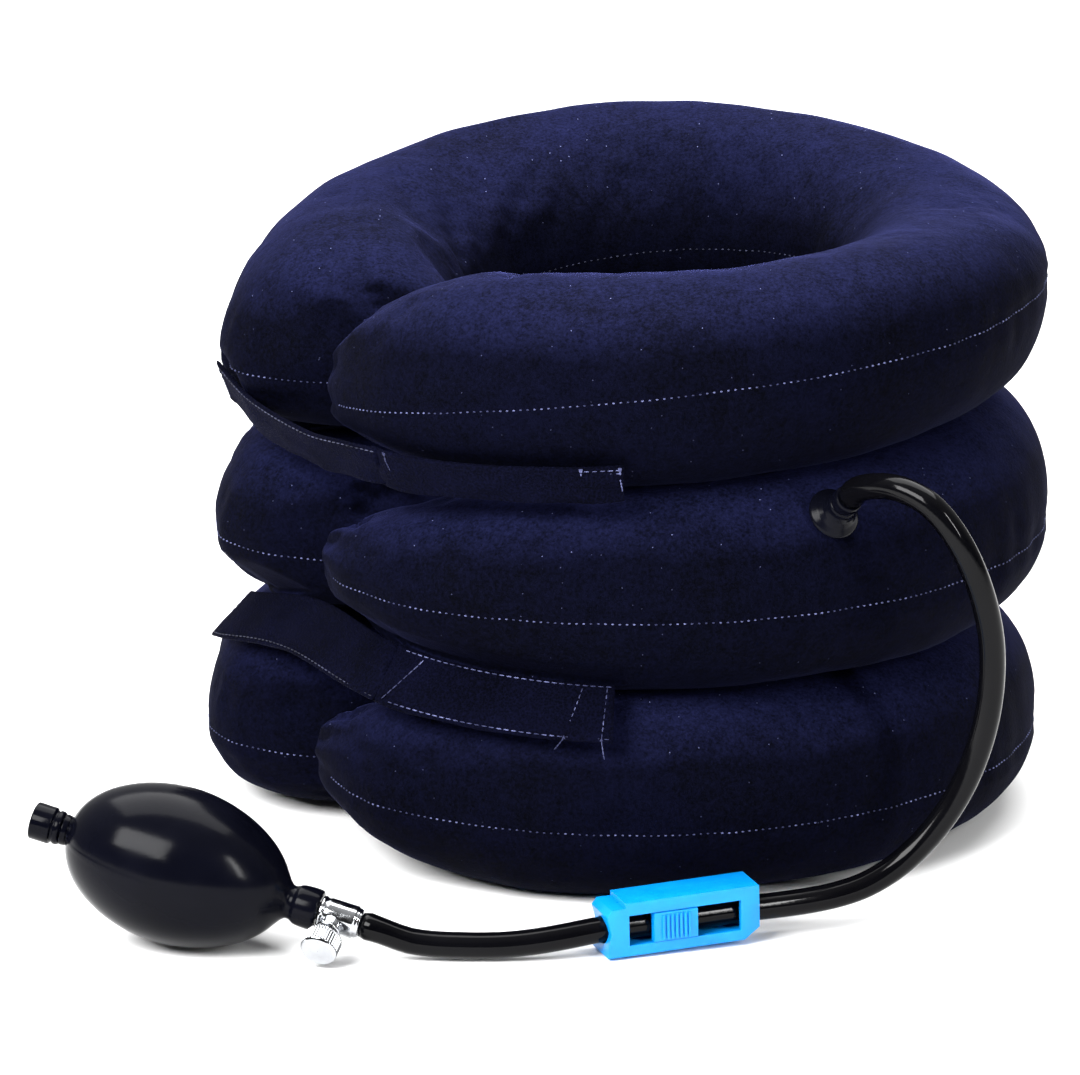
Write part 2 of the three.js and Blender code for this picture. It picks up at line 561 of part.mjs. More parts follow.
// ---------- air hose ----------
// Centre line from the port to the valve, from the neck axis; the clamp is on its straight stretch.
part.updateMatrixWorld(true);
const HOSE_LEAD = 6;         // the hose leaves its port and its valve in a straight line for this far
const atPort = (distance) => new THREE.Vector3(...portPoint(PORT_TIP + GAP + distance));
const atValve = (distance) => collar.worldToLocal(
  bulbGroup.localToWorld(new THREE.Vector3(HOSE_FACE + GAP + distance, 0, 0)));
const HOSE_ROUTE = [
  [70.8, -130.4, 136.2], [78, -137.2, 137.4], [87.1, -143, 133.9], [94.7, -145.5, 125.1],
  [101, -144.5, 112.3], [105.4, -142, 97.4], [107, -139.5, 84], [106.1, -138, 67.5],
  [101.5, -137.5, 49.8], [93.4, -138, 34], [81.2, -139, 20.2], [68.5, -141.5, 12.6], [54, -145.2, 9.6],
  CLAMP_RIGHT.toArray(), [11.2, -159.6, 8.3], CLAMP_LEFT.toArray(),
  [-24, -171, 6.3], [-38, -172.8, 4.8], [-54, -172.8, 4.5], [-69, -172.2, 5.6],
];
const routePoints = HOSE_ROUTE.map((p) => new THREE.Vector3(...p));
const hoseCurve = new THREE.CatmullRomCurve3(
  [atPort(0), atPort(HOSE_LEAD), ...routePoints, atValve(HOSE_LEAD), atValve(0)], false, 'centripetal');
const HOSE_SIDES = 10;
const HOSE_STEPS = 44;
const hoseSection = new THREE.Shape(Array.from({ length: HOSE_SIDES },
  (_, i) => polar(HOSE_DIAMETER / 2, (360 * i) / HOSE_SIDES)));
const hoseOptions = { steps: HOSE_STEPS, extrudePath: hoseCurve, bevelEnabled: false };
addMesh(collar, 'air_hose', new THREE.ExtrudeGeometry(hoseSection, hoseOptions), blackRubber());

export default part;
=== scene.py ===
import math

import bmesh
import bpy
import numpy as np
from mathutils import Matrix, Vector, noise


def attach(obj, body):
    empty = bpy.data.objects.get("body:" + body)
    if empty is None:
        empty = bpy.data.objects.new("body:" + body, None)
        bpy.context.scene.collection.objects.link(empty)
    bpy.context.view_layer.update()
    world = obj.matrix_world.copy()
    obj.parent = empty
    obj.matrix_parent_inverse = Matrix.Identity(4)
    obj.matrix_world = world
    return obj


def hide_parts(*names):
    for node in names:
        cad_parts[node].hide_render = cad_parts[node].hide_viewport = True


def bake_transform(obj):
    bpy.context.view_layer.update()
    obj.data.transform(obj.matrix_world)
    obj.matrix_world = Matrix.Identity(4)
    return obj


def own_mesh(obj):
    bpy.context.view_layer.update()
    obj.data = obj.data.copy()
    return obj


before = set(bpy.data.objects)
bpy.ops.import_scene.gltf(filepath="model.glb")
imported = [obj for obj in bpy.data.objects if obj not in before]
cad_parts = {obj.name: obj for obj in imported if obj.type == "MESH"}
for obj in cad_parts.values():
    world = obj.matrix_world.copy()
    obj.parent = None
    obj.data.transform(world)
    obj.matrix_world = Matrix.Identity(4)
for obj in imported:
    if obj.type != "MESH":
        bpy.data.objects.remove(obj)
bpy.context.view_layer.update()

# ---------- sizes shared with the CAD source, in metres ----------
NECK = np.array([0.026, 0.0263])      # neck axis in plan
OUTER_RADIUS = 0.134
INNER_RADIUS = 0.058
HOSE_RADIUS = 0.004
HOSE_LEAD = 0.006
HOSE_GAP = 0.0003
PORT_ANGLE, PORT_LIFT = math.radians(-62), math.radians(38)
PORT_SEAT = np.array([0.1246 * math.cos(PORT_ANGLE), 0.1246 * math.sin(PORT_ANGLE), 0.1206])
PORT_TIP = 0.015
BULB_CENTRE = np.array([-0.1395, -0.1585, 0.02485])
BULB_HEADING, BULB_TILT = math.radians(-13), math.radians(14)
BULB_RADIUS = 0.024
BULB_HALF = 0.0355
NECK_END = 0.0455                     # outlet neck's end face, along the bulb's axis
INTAKE_FACE = -BULB_HALF - 0.0015
HOSE_FACE = NECK_END + 0.0132
BOSS_TURN = math.radians(206)


def placed(points):
    """A point or points given from the neck axis, in the row frame."""
    return np.asarray(points, float) + [*NECK, 0]


def turn(axis, angle):
    return Matrix.Rotation(angle, 4, axis)


PORT_FRAME = Matrix.Translation(Vector(placed(PORT_SEAT))) @ turn("Z", PORT_ANGLE) @ turn("Y", -PORT_LIFT)
BULB_FRAME = Matrix.Translation(Vector(placed(BULB_CENTRE))) @ turn("Z", BULB_HEADING) @ turn("Y", BULB_TILT)
VALVE_FRAME = BULB_FRAME @ turn("X", BOSS_TURN)


# ---------- mesh helpers ----------
def add_object(name, data):
    obj = bpy.data.objects.new(name, data)
    bpy.context.scene.collection.objects.link(obj)
    return obj


def new_object(name, vertices, faces, smooth=True):
    mesh = bpy.data.meshes.new(name)
    mesh.from_pydata([tuple(v) for v in vertices], [], [tuple(f) for f in faces])
    mesh.update()
    if smooth:
        mesh.polygons.foreach_set("use_smooth", [True] * len(mesh.polygons))
    return add_object(name, mesh)


def fix_normals(obj):
    bm = bmesh.new()
    bm.from_mesh(obj.data)
    bmesh.ops.recalc_face_normals(bm, faces=bm.faces)
    bm.to_mesh(obj.data)
    bm.free()
    return obj


def grid_faces(rows, columns, close_rows=False):
    faces = []
    for i in range(rows if close_rows else rows - 1):
        for j in range(columns):
            k, n = (j + 1) % columns, (i + 1) % rows
            faces.append((i * columns + j, i * columns + k, n * columns + k, n * columns + j))
    return faces


def skin(name, loops, close_rows=False, smooth=True):
    """A surface through a row of closed loops, with its ends closed by fans or joined to each other."""
    loops = np.asarray(loops, float)
    rows, columns = loops.shape[:2]
    vertices = loops.reshape(-1, 3).tolist()
    faces = grid_faces(rows, columns, close_rows)
    if not close_rows:
        for row in (0, rows - 1):
            centre = len(vertices)
            vertices.append(loops[row].mean(0).tolist())
            for j in range(columns):
                faces.append((row * columns + j, row * columns + (j + 1) % columns, centre))
    return fix_normals(new_object(name, vertices, faces, smooth))


def tube_frames(path):
    """Two unit vectors across the path at each of its points, turning as little as possible."""
    path = np.asarray(path, float)
    tangents = np.gradient(path, axis=0)
    tangents /= np.linalg.norm(tangents, axis=1)[:, None]
    side = np.cross(tangents[0], [0, 0, 1.0])
    side /= np.linalg.norm(side)
    sides, ups = [], []
    for t in tangents:
        side = side - t * np.dot(side, t)
        side /= np.linalg.norm(side)
        sides.append(side)
        ups.append(np.cross(t, side))
    return np.array(sides), np.array(ups)


def round_angles(count):
    return np.linspace(0, 2 * math.pi, count, endpoint=False)


def tube_loops(path, radius, sides):
    side, up = tube_frames(path)
    angles = round_angles(sides)[None, :, None]
    around = np.cos(angles) * side[:, None] + np.sin(angles) * up[:, None]
    return path[:, None] + radius[:, None, None] * around


def hoop(x, radius, angles):
    """One loop of a body turned about X."""
    return np.stack([np.full(len(angles), x), radius * np.cos(angles), radius * np.sin(angles)], 1)


def turned(name, profile, place, sides, closed=True):
    """A turned body about X: profile is a list of (x, radius) in metres."""
    angles = round_angles(sides)
    obj = skin(name, [hoop(x, radius, angles) for x, radius in profile], close_rows=closed)
    obj.data.transform(place)
    return obj


def rounded(profile, radius, steps=4):
    """A profile with its corners rounded, so that a turned edge catches the light."""
    points = [np.array(p, float) for p in profile]
    out = []
    for i, corner in enumerate(points):
        before, after = points[i - 1], points[(i + 1) % len(points)]
        a, b = before - corner, after - corner
        la, lb = np.linalg.norm(a), np.linalg.norm(b)
        cut = min(radius, 0.45 * la, 0.45 * lb)
        start, end = corner + a / la * cut, corner + b / lb * cut
        for s in np.linspace(0, 1, steps + 1):
            out.append((1 - s) ** 2 * start + 2 * s * (1 - s) * corner + s ** 2 * end)
    return np.array(out)


def through(points, per_span=12):
    """Centripetal Catmull-Rom line through the points, as the CAD source draws it."""
    p = [np.array(q, float) for q in points]
    p = [2 * p[0] - p[1]] + p + [2 * p[-1] - p[-2]]
    line = []
    for i in range(1, len(p) - 2):
        knots = [0.0]
        for a, b in zip(p[i - 1:i + 2], p[i:i + 3]):
            knots.append(knots[-1] + max(np.linalg.norm(b - a), 1e-9) ** 0.5)
        for t in np.linspace(knots[1], knots[2], per_span, endpoint=False):
            level = p[i - 1:i + 3]
            for width in (1, 2, 3):
                level = [
                    ((knots[k + width] - t) * level[k] + (t - knots[k]) * level[k + 1])
                    / (knots[k + width] - knots[k]) for k in range(len(level) - 1)]
            line.append(level[0])
    line.append(p[-2])
    return np.array(line)


def distances(line):
    """Distance along a line at each of its points, from its start."""
    return np.concatenate([[0], np.cumsum(np.linalg.norm(np.diff(line, axis=0), axis=1))])


def at_distance(rows, along, distance):
    """The row of values at one distance along a line, or at several."""
    return np.stack([np.interp(distance, along, rows[:, k]) for k in range(rows.shape[1])], -1)


def resample(line, spacing):
    along = distances(line)
    count = max(2, int(round(along[-1] / spacing)) + 1)
    return at_distance(line, along, np.linspace(0, along[-1], count))


def length_of(line):
    return float(np.linalg.norm(np.diff(line, axis=0), axis=1).sum())


def finish_piece(obj, body, material, replaces=()):
    obj.data.materials.clear()
    obj.data.materials.append(material)
    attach(obj, body)
    if replaces:
        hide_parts(*replaces)
    return obj


def flatten_with_air(obj):
    """Gives the soft piece a mesh of its own."""
    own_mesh(obj)
    return obj


def soft_piece(obj, body, material, replaces=()):
    return flatten_with_air(finish_piece(obj, body, material, replaces))


# ---------- materials ----------
def material(name, color, roughness, metallic=0.0, **sockets):
    mat = bpy.data.materials.new(name)
    mat.use_nodes = True
    shader = mat.node_tree.nodes["Principled BSDF"]
    shader.inputs["Base Color"].default_value = (*color, 1)
    shader.inputs["Roughness"].default_value = roughness
    shader.inputs["Metallic"].default_value = metallic
    for socket, value in sockets.items():
        shader.inputs[socket.replace("_", " ")].default_value = value
    return mat, mat.node_tree, shader


def node(tree, kind, inputs=None, **settings):
    made = tree.nodes.new(kind)
    for key, value in settings.items():
        setattr(made, key, value)
    for key, value in (inputs or {}).items():
        if isinstance(value, bpy.types.NodeSocket):
            tree.links.new(value, made.inputs[key])
        else:
            made.inputs[key].default_value = value
    return made


def object_point(tree):
    return node(tree, "ShaderNodeTexCoord").outputs["Object"]


def noise_at(tree, scale, detail, roughness=0.55):
    inputs = {"Vector": object_point(tree), "Scale": scale, "Detail": detail, "Roughness": roughness}
    return node(tree, "ShaderNodeTexNoise", inputs).outputs["Fac"]


def mix(tree, share, a, b, data_type="FLOAT"):
    made = node(tree, "ShaderNodeMix", {"Factor": share, "A": a, "B": b}, data_type=data_type)
    return made.outputs[0 if data_type == "FLOAT" else 2]


def calculate(tree, operation, a, b):
    return node(tree, "ShaderNodeMath", {0: a, 1: b}, operation=operation).outputs[0]


def ramp(tree, value, stops):
    made = node(tree, "ShaderNodeValToRGB", {"Fac": value})
    elements = made.color_ramp.elements
    while len(elements) < len(stops):
        elements.new(0.5)
    for element, (position, color) in zip(elements, stops):
        element.position = position
        element.color = (*color, 1) if len(color) == 3 else (color[0], color[0], color[0], 1)
    return made.outputs["Color"]


def bump(tree, height, strength, distance, below=None):
    inputs = {"Height": height, "Strength": strength, "Distance": distance}
    if below is not None:
        inputs["Normal"] = below
    return node(tree, "ShaderNodeBump", inputs).outputs["Normal"]


def vary(tree, shader, socket, value, stops):
    """Sets one of the shader's inputs from a value, through a ramp."""
    tree.links.new(ramp(tree, value, stops), shader.inputs[socket])


def emboss(tree, shader, height, strength, distance, below=None):
    tree.links.new(bump(tree, height, strength, distance, below), shader.inputs["Normal"])


SHEEN = 0.14


def velvet_material(name, dark, light):
    """Flocked velvet: brushed patches, short pile, stray lint; painted light, lighter where it faces up."""
    mat, tree, shader = material(
        name, dark, 0.92, Sheen_Weight=SHEEN, Sheen_Roughness=0.22, Specular_IOR_Level=0.02)
    shader.inputs["Sheen Tint"].default_value = (0.14, 0.16, 0.56, 1)
    patches = noise_at(tree, 26, detail=5, roughness=0.6)
    brushed = noise_at(tree, 210, detail=4, roughness=0.7)
    pile = noise_at(tree, 900, detail=3, roughness=0.8)
    mixed = mix(tree, 0.76, patches, mix(tree, 0.72, brushed, pile))
    middle = tuple((a + b) / 2 for a, b in zip(dark, light))
    color = ramp(tree, mixed, [(0.4, dark), (0.5, middle), (0.6, light)])
    cells = node(tree, "ShaderNodeTexVoronoi", {"Vector": object_point(tree), "Scale": 330.0})
    lint = ramp(tree, cells.outputs["Distance"], [(0.0, (1,)), (0.05, (1,)), (0.07, (0,))])
    kind = node(tree, "ShaderNodeSeparateColor", {"Color": cells.outputs["Color"]})
    few = calculate(tree, "GREATER_THAN", kind.outputs[0], 0.72)
    amount = calculate(tree, "MULTIPLY", lint, few)
    speckled = mix(tree, amount, color, (0.09, 0.10, 0.20, 1), "RGBA")
    # Painted light: base colour and sheen weight scale with how far the surface faces up, darker on sides
    # and undersides.
    normal = node(tree, "ShaderNodeTexCoord").outputs["Normal"]
    facing = node(tree, "ShaderNodeSeparateXYZ", {"Vector": normal})
    painted_top_light = ramp(tree, facing.outputs["Z"], [(0.0, (0.34,)), (0.38, (0.4,)), (0.72, (1.3,)), (1.0, (2.1,))])
    painted_light_tone = node(tree, "ShaderNodeVectorMath", {0: speckled}, operation="SCALE")
    tree.links.new(painted_top_light, painted_light_tone.inputs["Scale"])
    tree.links.new(painted_light_tone.outputs[0], shader.inputs["Base Color"])
    tree.links.new(calculate(tree, "MULTIPLY", painted_top_light, SHEEN), shader.inputs["Sheen Weight"])
    vary(tree, shader, "Roughness", patches, [(0.3, (0.82,)), (0.7, (0.98,))])
    emboss(tree, shader, pile, 0.5, 0.0003, bump(tree, brushed, 0.35, 0.0008))
    return mat


def thread_material(name, dark, light):
    mat, tree, shader = material(name, light, 0.6, Specular_IOR_Level=0.2)
    fibre = noise_at(tree, 2600, detail=2)
    worn = noise_at(tree, 140, detail=1)
    vary(tree, shader, "Base Color", worn, [(0.42, dark), (0.62, light)])
    emboss(tree, shader, fibre, 0.6, 0.0002)
    return mat


def strap_material():
    mat, tree, shader = material("strap_loop_fabric", (0.002, 0.0024, 0.009), 0.92, Sheen_Weight=0.02,
                                 Sheen_Roughness=0.25, Specular_IOR_Level=0.02)
    shader.inputs["Sheen Tint"].default_value = (0.16, 0.18, 0.6, 1)
    loops = node(tree, "ShaderNodeTexVoronoi", {"Vector": object_point(tree), "Scale": 1300.0})
    worn = noise_at(tree, 60, detail=5)
    mixed = mix(tree, 0.5, loops.outputs["Distance"], worn)
    stops = [(0.3, (0.0005, 0.0006, 0.0020)), (0.75, (0.0019, 0.0022, 0.0092))]
    vary(tree, shader, "Base Color", mixed, stops)
    emboss(tree, shader, loops.outputs["Distance"], 0.7, 0.0004)
    return mat


def hook_material():
    mat, tree, shader = material("hook_tape", (0.004, 0.005, 0.016), 0.75, Specular_IOR_Level=0.06)
    hooks = node(tree, "ShaderNodeTexVoronoi", {"Vector": object_point(tree), "Scale": 900.0},
                 feature="DISTANCE_TO_EDGE")
    stops = [(0.05, (0.004, 0.0045, 0.015)), (0.4, (0.0012, 0.0014, 0.005))]
    vary(tree, shader, "Base Color", hooks.outputs["Distance"], stops)
    emboss(tree, shader, hooks.outputs["Distance"], 0.9, 0.0006)
    return mat


def rubber_material(name, color, rough_low, rough_high, specular=0.05):
    mat, tree, shader = material(name, color, rough_low, Specular_IOR_Level=specular)
    haze = noise_at(tree, 35, detail=6)
    dust = noise_at(tree, 700, detail=3)
    dusty = tuple(min(1, c * 1.9 + 0.0006) for c in color)
    vary(tree, shader, "Base Color", haze, [(0.3, color), (0.75, dusty)])
    vary(tree, shader, "Roughness", haze, [(0.35, (rough_low,)), (0.7, (rough_high,))])
    emboss(tree, shader, dust, 0.08, 0.0002)
    return mat


def plastic_material():
    mat, tree, shader = material("sky_blue_plastic", (0.0, 0.33, 0.82), 0.32, Specular_IOR_Level=0.3,
                                 Subsurface_Weight=0.08, Subsurface_Scale=0.004)
    flow = noise_at(tree, 90, detail=4)
    grain = noise_at(tree, 1800, detail=2)
    vary(tree, shader, "Base Color", flow, [(0.3, (0.0, 0.195, 0.58)), (0.7, (0.0, 0.24, 0.68))])
    vary(tree, shader, "Roughness", flow, [(0.3, (0.26,)), (0.7, (0.4,))])
    emboss(tree, shader, grain, 0.12, 0.0002)
    return mat


def metal_material(name, color, rough_low, rough_high):
    mat, tree, shader = material(name, color, rough_low, metallic=1.0)
    wear = noise_at(tree, 260, detail=7, roughness=0.7)
    vary(tree, shader, "Roughness", wear, [(0.35, (rough_low,)), (0.72, (rough_high,))])
    vary(tree, shader, "Base Color", wear, [(0.3, tuple(c * 0.86 for c in color)), (0.6, color)])
    emboss(tree, shader, wear, 0.06, 0.0002)
    return mat


VELVET = velvet_material("navy_flocked_velvet", (0.0010, 0.0012, 0.0042), (0.0042, 0.0050, 0.0200))
STRAP = strap_material()
HOOK = hook_material()
THREAD = thread_material("stitch_thread", (0.016, 0.019, 0.055), (0.10, 0.11, 0.23))
# Painted shade: a darker copy of the stitch thread, for the inner seams in the hole's shade; also used on
# the strap flaps.
SHADE_DARKENED_THREAD = thread_material("shade_darkened_thread", (0.006, 0.007, 0.018), (0.03, 0.033, 0.065))
GLOSSY_RUBBER = rubber_material("glossy_black_rubber", (0.0008, 0.0009, 0.0022), 0.12, 0.24)
HOSE_RUBBER = rubber_material("glossy_black_hose", (0.0008, 0.0008, 0.0012), 0.08, 0.15, 0.09)
SATIN_RUBBER = rubber_material("satin_black_rubber", (0.0035, 0.0035, 0.0042), 0.26, 0.4)
LATEX = rubber_material("natural_latex", (0.42, 0.26, 0.12), 0.5, 0.65)
PLASTIC = plastic_material()
CHROME = metal_material("polished_chrome", (0.42, 0.43, 0.45), 0.06, 0.2)
STEEL = metal_material("plain_steel", (0.5, 0.5, 0.52), 0.22, 0.38)

# ---------- camera ----------
VIEW_TARGET = Vector((NECK[0] - 0.030, NECK[1], 0.083))
VIEW_DISTANCE = 2.2
VIEW_RISE = math.radians(15.9)
LENS_MM, SENSOR_MM = 227.3333, 36
camera_data = bpy.data.cameras.new("photo_view")
camera_data.sensor_width = SENSOR_MM
camera_data.lens = LENS_MM
camera_data.clip_end = 20
camera = add_object("photo_view", camera_data)
camera.location = VIEW_TARGET + VIEW_DISTANCE * Vector((0, -math.cos(VIEW_RISE), math.sin(VIEW_RISE)))
camera.rotation_euler = (math.pi / 2 - VIEW_RISE, 0, 0)
bpy.context.scene.camera = camera

# ---------- air hose ----------
HOSE_ROUTE = [
    (70.8, -130.4, 136.2), (78, -137.2, 137.4), (87.1, -143, 133.9), (94.7, -145.5, 125.1),
    (101, -144.5, 112.3), (105.4, -142, 97.4), (107, -139.5, 84), (106.1, -138, 67.5),
    (101.5, -137.5, 49.8), (93.4, -138, 34), (81.2, -139, 20.2), (68.5, -141.5, 12.6), (54, -145.2, 9.6),
    (35.4, -151.1, 9), (11.2, -159.6, 8.3), (-13, -168.1, 7.6),
    (-24, -171, 6.3), (-38, -172.8, 4.8), (-54, -172.8, 4.5), (-69, -172.2, 5.6),
]  # millimetres, from the neck axis
BARB_STRETCH, BARB_REACH = 0.00035, 0.0045    # the hose is wider where it is pushed on


def make_hose():
    port = [np.array(PORT_FRAME @ Vector((PORT_TIP + HOSE_GAP + lead, 0, 0))) for lead in (0, HOSE_LEAD)]
    valve = [np.array(BULB_FRAME @ Vector((HOSE_FACE + HOSE_GAP + lead, 0, 0))) for lead in (HOSE_LEAD, 0)]
    points = port + [placed(np.array(p) / 1000) for p in HOSE_ROUTE] + valve
    path = resample(through(points), 0.0022)
    along = np.arange(len(path)) * length_of(path) / (len(path) - 1)
    ends = np.minimum(along, along[-1] - along)
    radius = HOSE_RADIUS + BARB_STRETCH * np.exp(-(ends / BARB_REACH) ** 2)
    radius[[0, -1]] -= 0.0006         # the cut ends taper a little
    return skin("hose_tube", tube_loops(path, radius, 32)), path


hose, hose_path = make_hose()
hose.data.materials.append(HOSE_RUBBER)
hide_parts("air_hose")

# ---------- port: moulded cup, hose sleeve, nozzle ----------
MM = 0.001


def lathe(name, profile_mm, place, body, mat, replaced, round_mm=0.3, sides=72):
    profile = rounded(np.array(profile_mm, float) * MM, round_mm * MM)
    return finish_piece(turned(name, profile, place, sides), body, mat, replaced)


PORT_CUP = [(2.4, 3), (2.4, 7.9), (3.1, 8.3), (3.9, 7.9), (5.2, 6.4), (6.8, 5.2), (8.6, 4.6), (10.1, 4.5),
            (10.7, 4.1), (10.7, 3)]
lathe("port_cup_moulding", PORT_CUP, PORT_FRAME, "middle_tier", GLOSSY_RUBBER, ["port_cup"],
      0.35)
lathe("port_sleeve_ring", [(10.9, 3), (10.9, 4.3), (11.6, 4.45), (14.2, 4.45), (15, 4.2), (15, 3)],
      PORT_FRAME, "middle_tier", GLOSSY_RUBBER, ["port_sleeve"], 0.2)
lathe("port_nozzle_tube", [(-7, 1.4), (-7, 2.6), (15, 2.6), (15, 1.4)], PORT_FRAME, "middle_tier",
      SATIN_RUBBER, ["port_nozzle"], 0.3)
lathe("port_clamp_washer", [(-5.6, 3), (-5.6, 4), (-4, 4), (-4, 3)], PORT_FRAME, "middle_tier",
      STEEL, ["port_washer"], 0.3)


# ---------- squeeze bulb ----------
def egg(inset, start, end, steps):
    shares = np.linspace(start, end, steps)
    power = np.where(shares < 0, 2.1, 1.8)
    radius = (BULB_RADIUS - inset) * (1 - np.abs(shares) ** power) ** 0.5
    return np.stack([shares * (BULB_HALF - inset), np.maximum(radius, 0.003 + inset / 2)], 1)


RUBBER_SLACK = 0.00022
PARTING_RISE, PARTING_WIDTH = 0.00016, 0.00045
NECKS_RADIUS = 0.0085                 # the two necks are plain inside this radius


def make_bulb():
    outside = egg(0, -0.985, 0.93, 110)
    inside = egg(0.0024, -0.985, 0.985, 50)[::-1]
    intake_neck = rounded(
        [(INTAKE_FACE, 0.003), (INTAKE_FACE, 0.0049), (-BULB_HALF + 0.0004, 0.0046)], 0.0003)
    outlet_neck = through(np.array([
        (BULB_HALF - 0.0010, 0.0064), (BULB_HALF + 0.0004, 0.0052), (BULB_HALF + 0.0018, 0.0053),
        (BULB_HALF + 0.0030, 0.0060), (BULB_HALF + 0.0045, 0.0063), (NECK_END - 0.0010, 0.00635),
        (NECK_END - 0.0003, 0.0061), (NECK_END, 0.0056)]), 5)
    outlet_neck = np.concatenate([outlet_neck, [(NECK_END, 0.003)]])
    profile = np.concatenate([intake_neck, outside, outlet_neck, inside])
    bulb = turned("bulb_moulding", profile, Matrix.Identity(4), 128)
    for vertex in bulb.data.vertices:     # slight slackness of the rubber, and the mould's parting line
        x, y, z = vertex.co
        radius = math.hypot(y, z)
        if radius < NECKS_RADIUS:
            continue
        swell = RUBBER_SLACK * noise.noise(Vector((x, y, z)) * 45)
        line = PARTING_RISE * math.exp(-(z / PARTING_WIDTH) ** 2)
        grow = (radius + swell + line) / radius
        vertex.co = (x, y * grow, z * grow)
    bulb.data.transform(BULB_FRAME)
    return bulb


finish_piece(make_bulb(), "root", GLOSSY_RUBBER, ["bulb_shell"])


def from_intake(profile):
    return [(INTAKE_FACE / MM + x, radius) for x, radius in profile]


def from_neck(profile):
    return [(NECK_END / MM + x, radius) for x, radius in profile]


INTAKE = from_intake([
    (-9.2, 1.2), (-9.6, 2.4), (-9.6, 4.6), (-9.9, 5.0), (-9.4, 5.8), (-3.4, 5.75), (-3.0, 5.0), (-2.4, 4.9),
    (-2.1, 5.3), (-1.0, 5.3), (-0.3, 4.8), (-0.3, 2.7), (8, 2.7), (8, 2.1), (-6.6, 2.1), (-8.2, 1.2)])
lathe("intake_cap", INTAKE, BULB_FRAME, "root", GLOSSY_RUBBER, ["intake_housing"], 0.35)
lathe("intake_retaining_ring", from_intake([(6.2, 0.7), (6.2, 1.8), (7, 1.8), (7, 0.7)]), BULB_FRAME, "root",
      STEEL, ["intake_retainer"], 0.2)
lathe("outlet_spring_cup", from_neck([(3, 0.8), (3, 1.7), (4, 1.7), (4, 0.8)]), VALVE_FRAME, "root",
      STEEL, ["outlet_spring_seat"], 0.2)


# ---------- release valve ----------
def boolean(obj, cutter, operation):
    modifier = obj.modifiers.new("cut", "BOOLEAN")
    modifier.operation, modifier.object, modifier.solver = operation, cutter, "EXACT"
    apply_modifiers(obj)
    bpy.data.objects.remove(cutter)
    return obj


def apply_modifiers(obj):
    depsgraph = bpy.context.evaluated_depsgraph_get()
    mesh = bpy.data.meshes.new_from_object(obj.evaluated_get(depsgraph))
    obj.modifiers.clear()
    obj.data = mesh


def smooth_by_angle(obj, angle=38):
    """Smooth shading, with the edges sharper than the angle left sharp."""
    mesh = obj.data
    mesh.polygons.foreach_set("use_smooth", [True] * len(mesh.polygons))
    bm = bmesh.new()
    bm.from_mesh(mesh)
    for edge in bm.edges:
        edge.smooth = len(edge.link_faces) == 2 and edge.calc_face_angle(0) < math.radians(angle)
    bm.to_mesh(mesh)
    bm.free()
    return obj


SCREW_X = NECK_END / MM + 4.9
BARREL = from_neck([
    (-11.5, 0.9), (-11.5, 2.1), (-8.5, 2.7), (0.3, 2.7), (0.3, 4.9), (1.1, 5.15), (1.7, 4.75), (2.3, 4.75),
    (2.9, 5.0), (11.4, 5.0), (11.8, 4.6), (12.4, 4.6), (12.7, 4.35), (13.2, 4.3), (13.2, 1.3), (9.8, 1.3),
    (9.8, 0.9), (4.3, 0.9), (4.3, 2), (-3, 2), (-3, 0.9)])
ALONG_SCREW = VALVE_FRAME @ Matrix.Translation((SCREW_X * MM, 0, 0)) @ turn("Z", math.pi / 2)


def make_valve():
    barrel = turned("valve_barrel", rounded(np.array(BARREL) * MM, 0.00018), VALVE_FRAME, 72)
    boss_corners = [(2, 0), (2, 3.6), (6.1, 3.6), (6.5, 4.0), (7.1, 4.0), (7.4, 3.7), (7.4, 0)]
    boss_profile = rounded(np.array(boss_corners) * MM, 0.00018)
    boss_profile[:, 1] = np.maximum(boss_profile[:, 1], 0.00001)
    boss = turned("boss", boss_profile, ALONG_SCREW, 48)
    bore = turned("bore", np.array([(1.2, 0.01), (1.2, 2.4), (9, 2.4), (9, 0.01)]) * MM, ALONG_SCREW, 32)
    boolean(barrel, boss, "UNION")
    boolean(barrel, bore, "DIFFERENCE")
    return smooth_by_angle(barrel)


finish_piece(make_valve(), "root", CHROME, ["valve_body"])

KNURL_FROM, KNURL_TO = 0.0100, 0.0152
KNURLS, KNURL_DEPTH, KNURL_FADE = 40, 0.00042, 0.0003
SHANK_FROM, SHANK_TO, SHANK_RADIUS = 0.0040, 0.0080, 0.00145
THREAD_PITCH, THREAD_DEPTH = 0.0007, 0.00012


def make_knob():
    """Release knob: fine knurls between two plain rims, a neck and a threaded shank."""
    angles = round_angles(240)
    profile = rounded(np.array([
        (3.8, 0.01), (3.8, 1.45), (8.2, 1.45), (8.2, 3.2), (9.4, 3.2), (9.4, 5.3), (9.9, 5.7), (15.3, 5.7),
        (16, 5.0), (16, 4.2), (15.8, 4.0), (15.8, 0.01)]) * MM, 0.00022, 5)
    dense = resample(profile, 0.00022)
    loops = []
    for x, radius in dense:
        across = np.full(len(angles), radius)
        if radius > 0.0053 and KNURL_FROM < x < KNURL_TO:
            fade = min(1, (x - KNURL_FROM) / KNURL_FADE, (KNURL_TO - x) / KNURL_FADE)
            across = across - fade * KNURL_DEPTH * np.abs(np.sin(angles * KNURLS / 2)) ** 0.6
        if abs(radius - SHANK_RADIUS) < 0.0001 and SHANK_FROM < x < SHANK_TO:
            across = across + THREAD_DEPTH * np.sin(2 * math.pi * x / THREAD_PITCH + angles)
        loops.append(hoop(x, across, angles))
    knob = skin("release_knob_turned", loops)
    knob.data.transform(ALONG_SCREW)
    return smooth_by_angle(knob, 50)


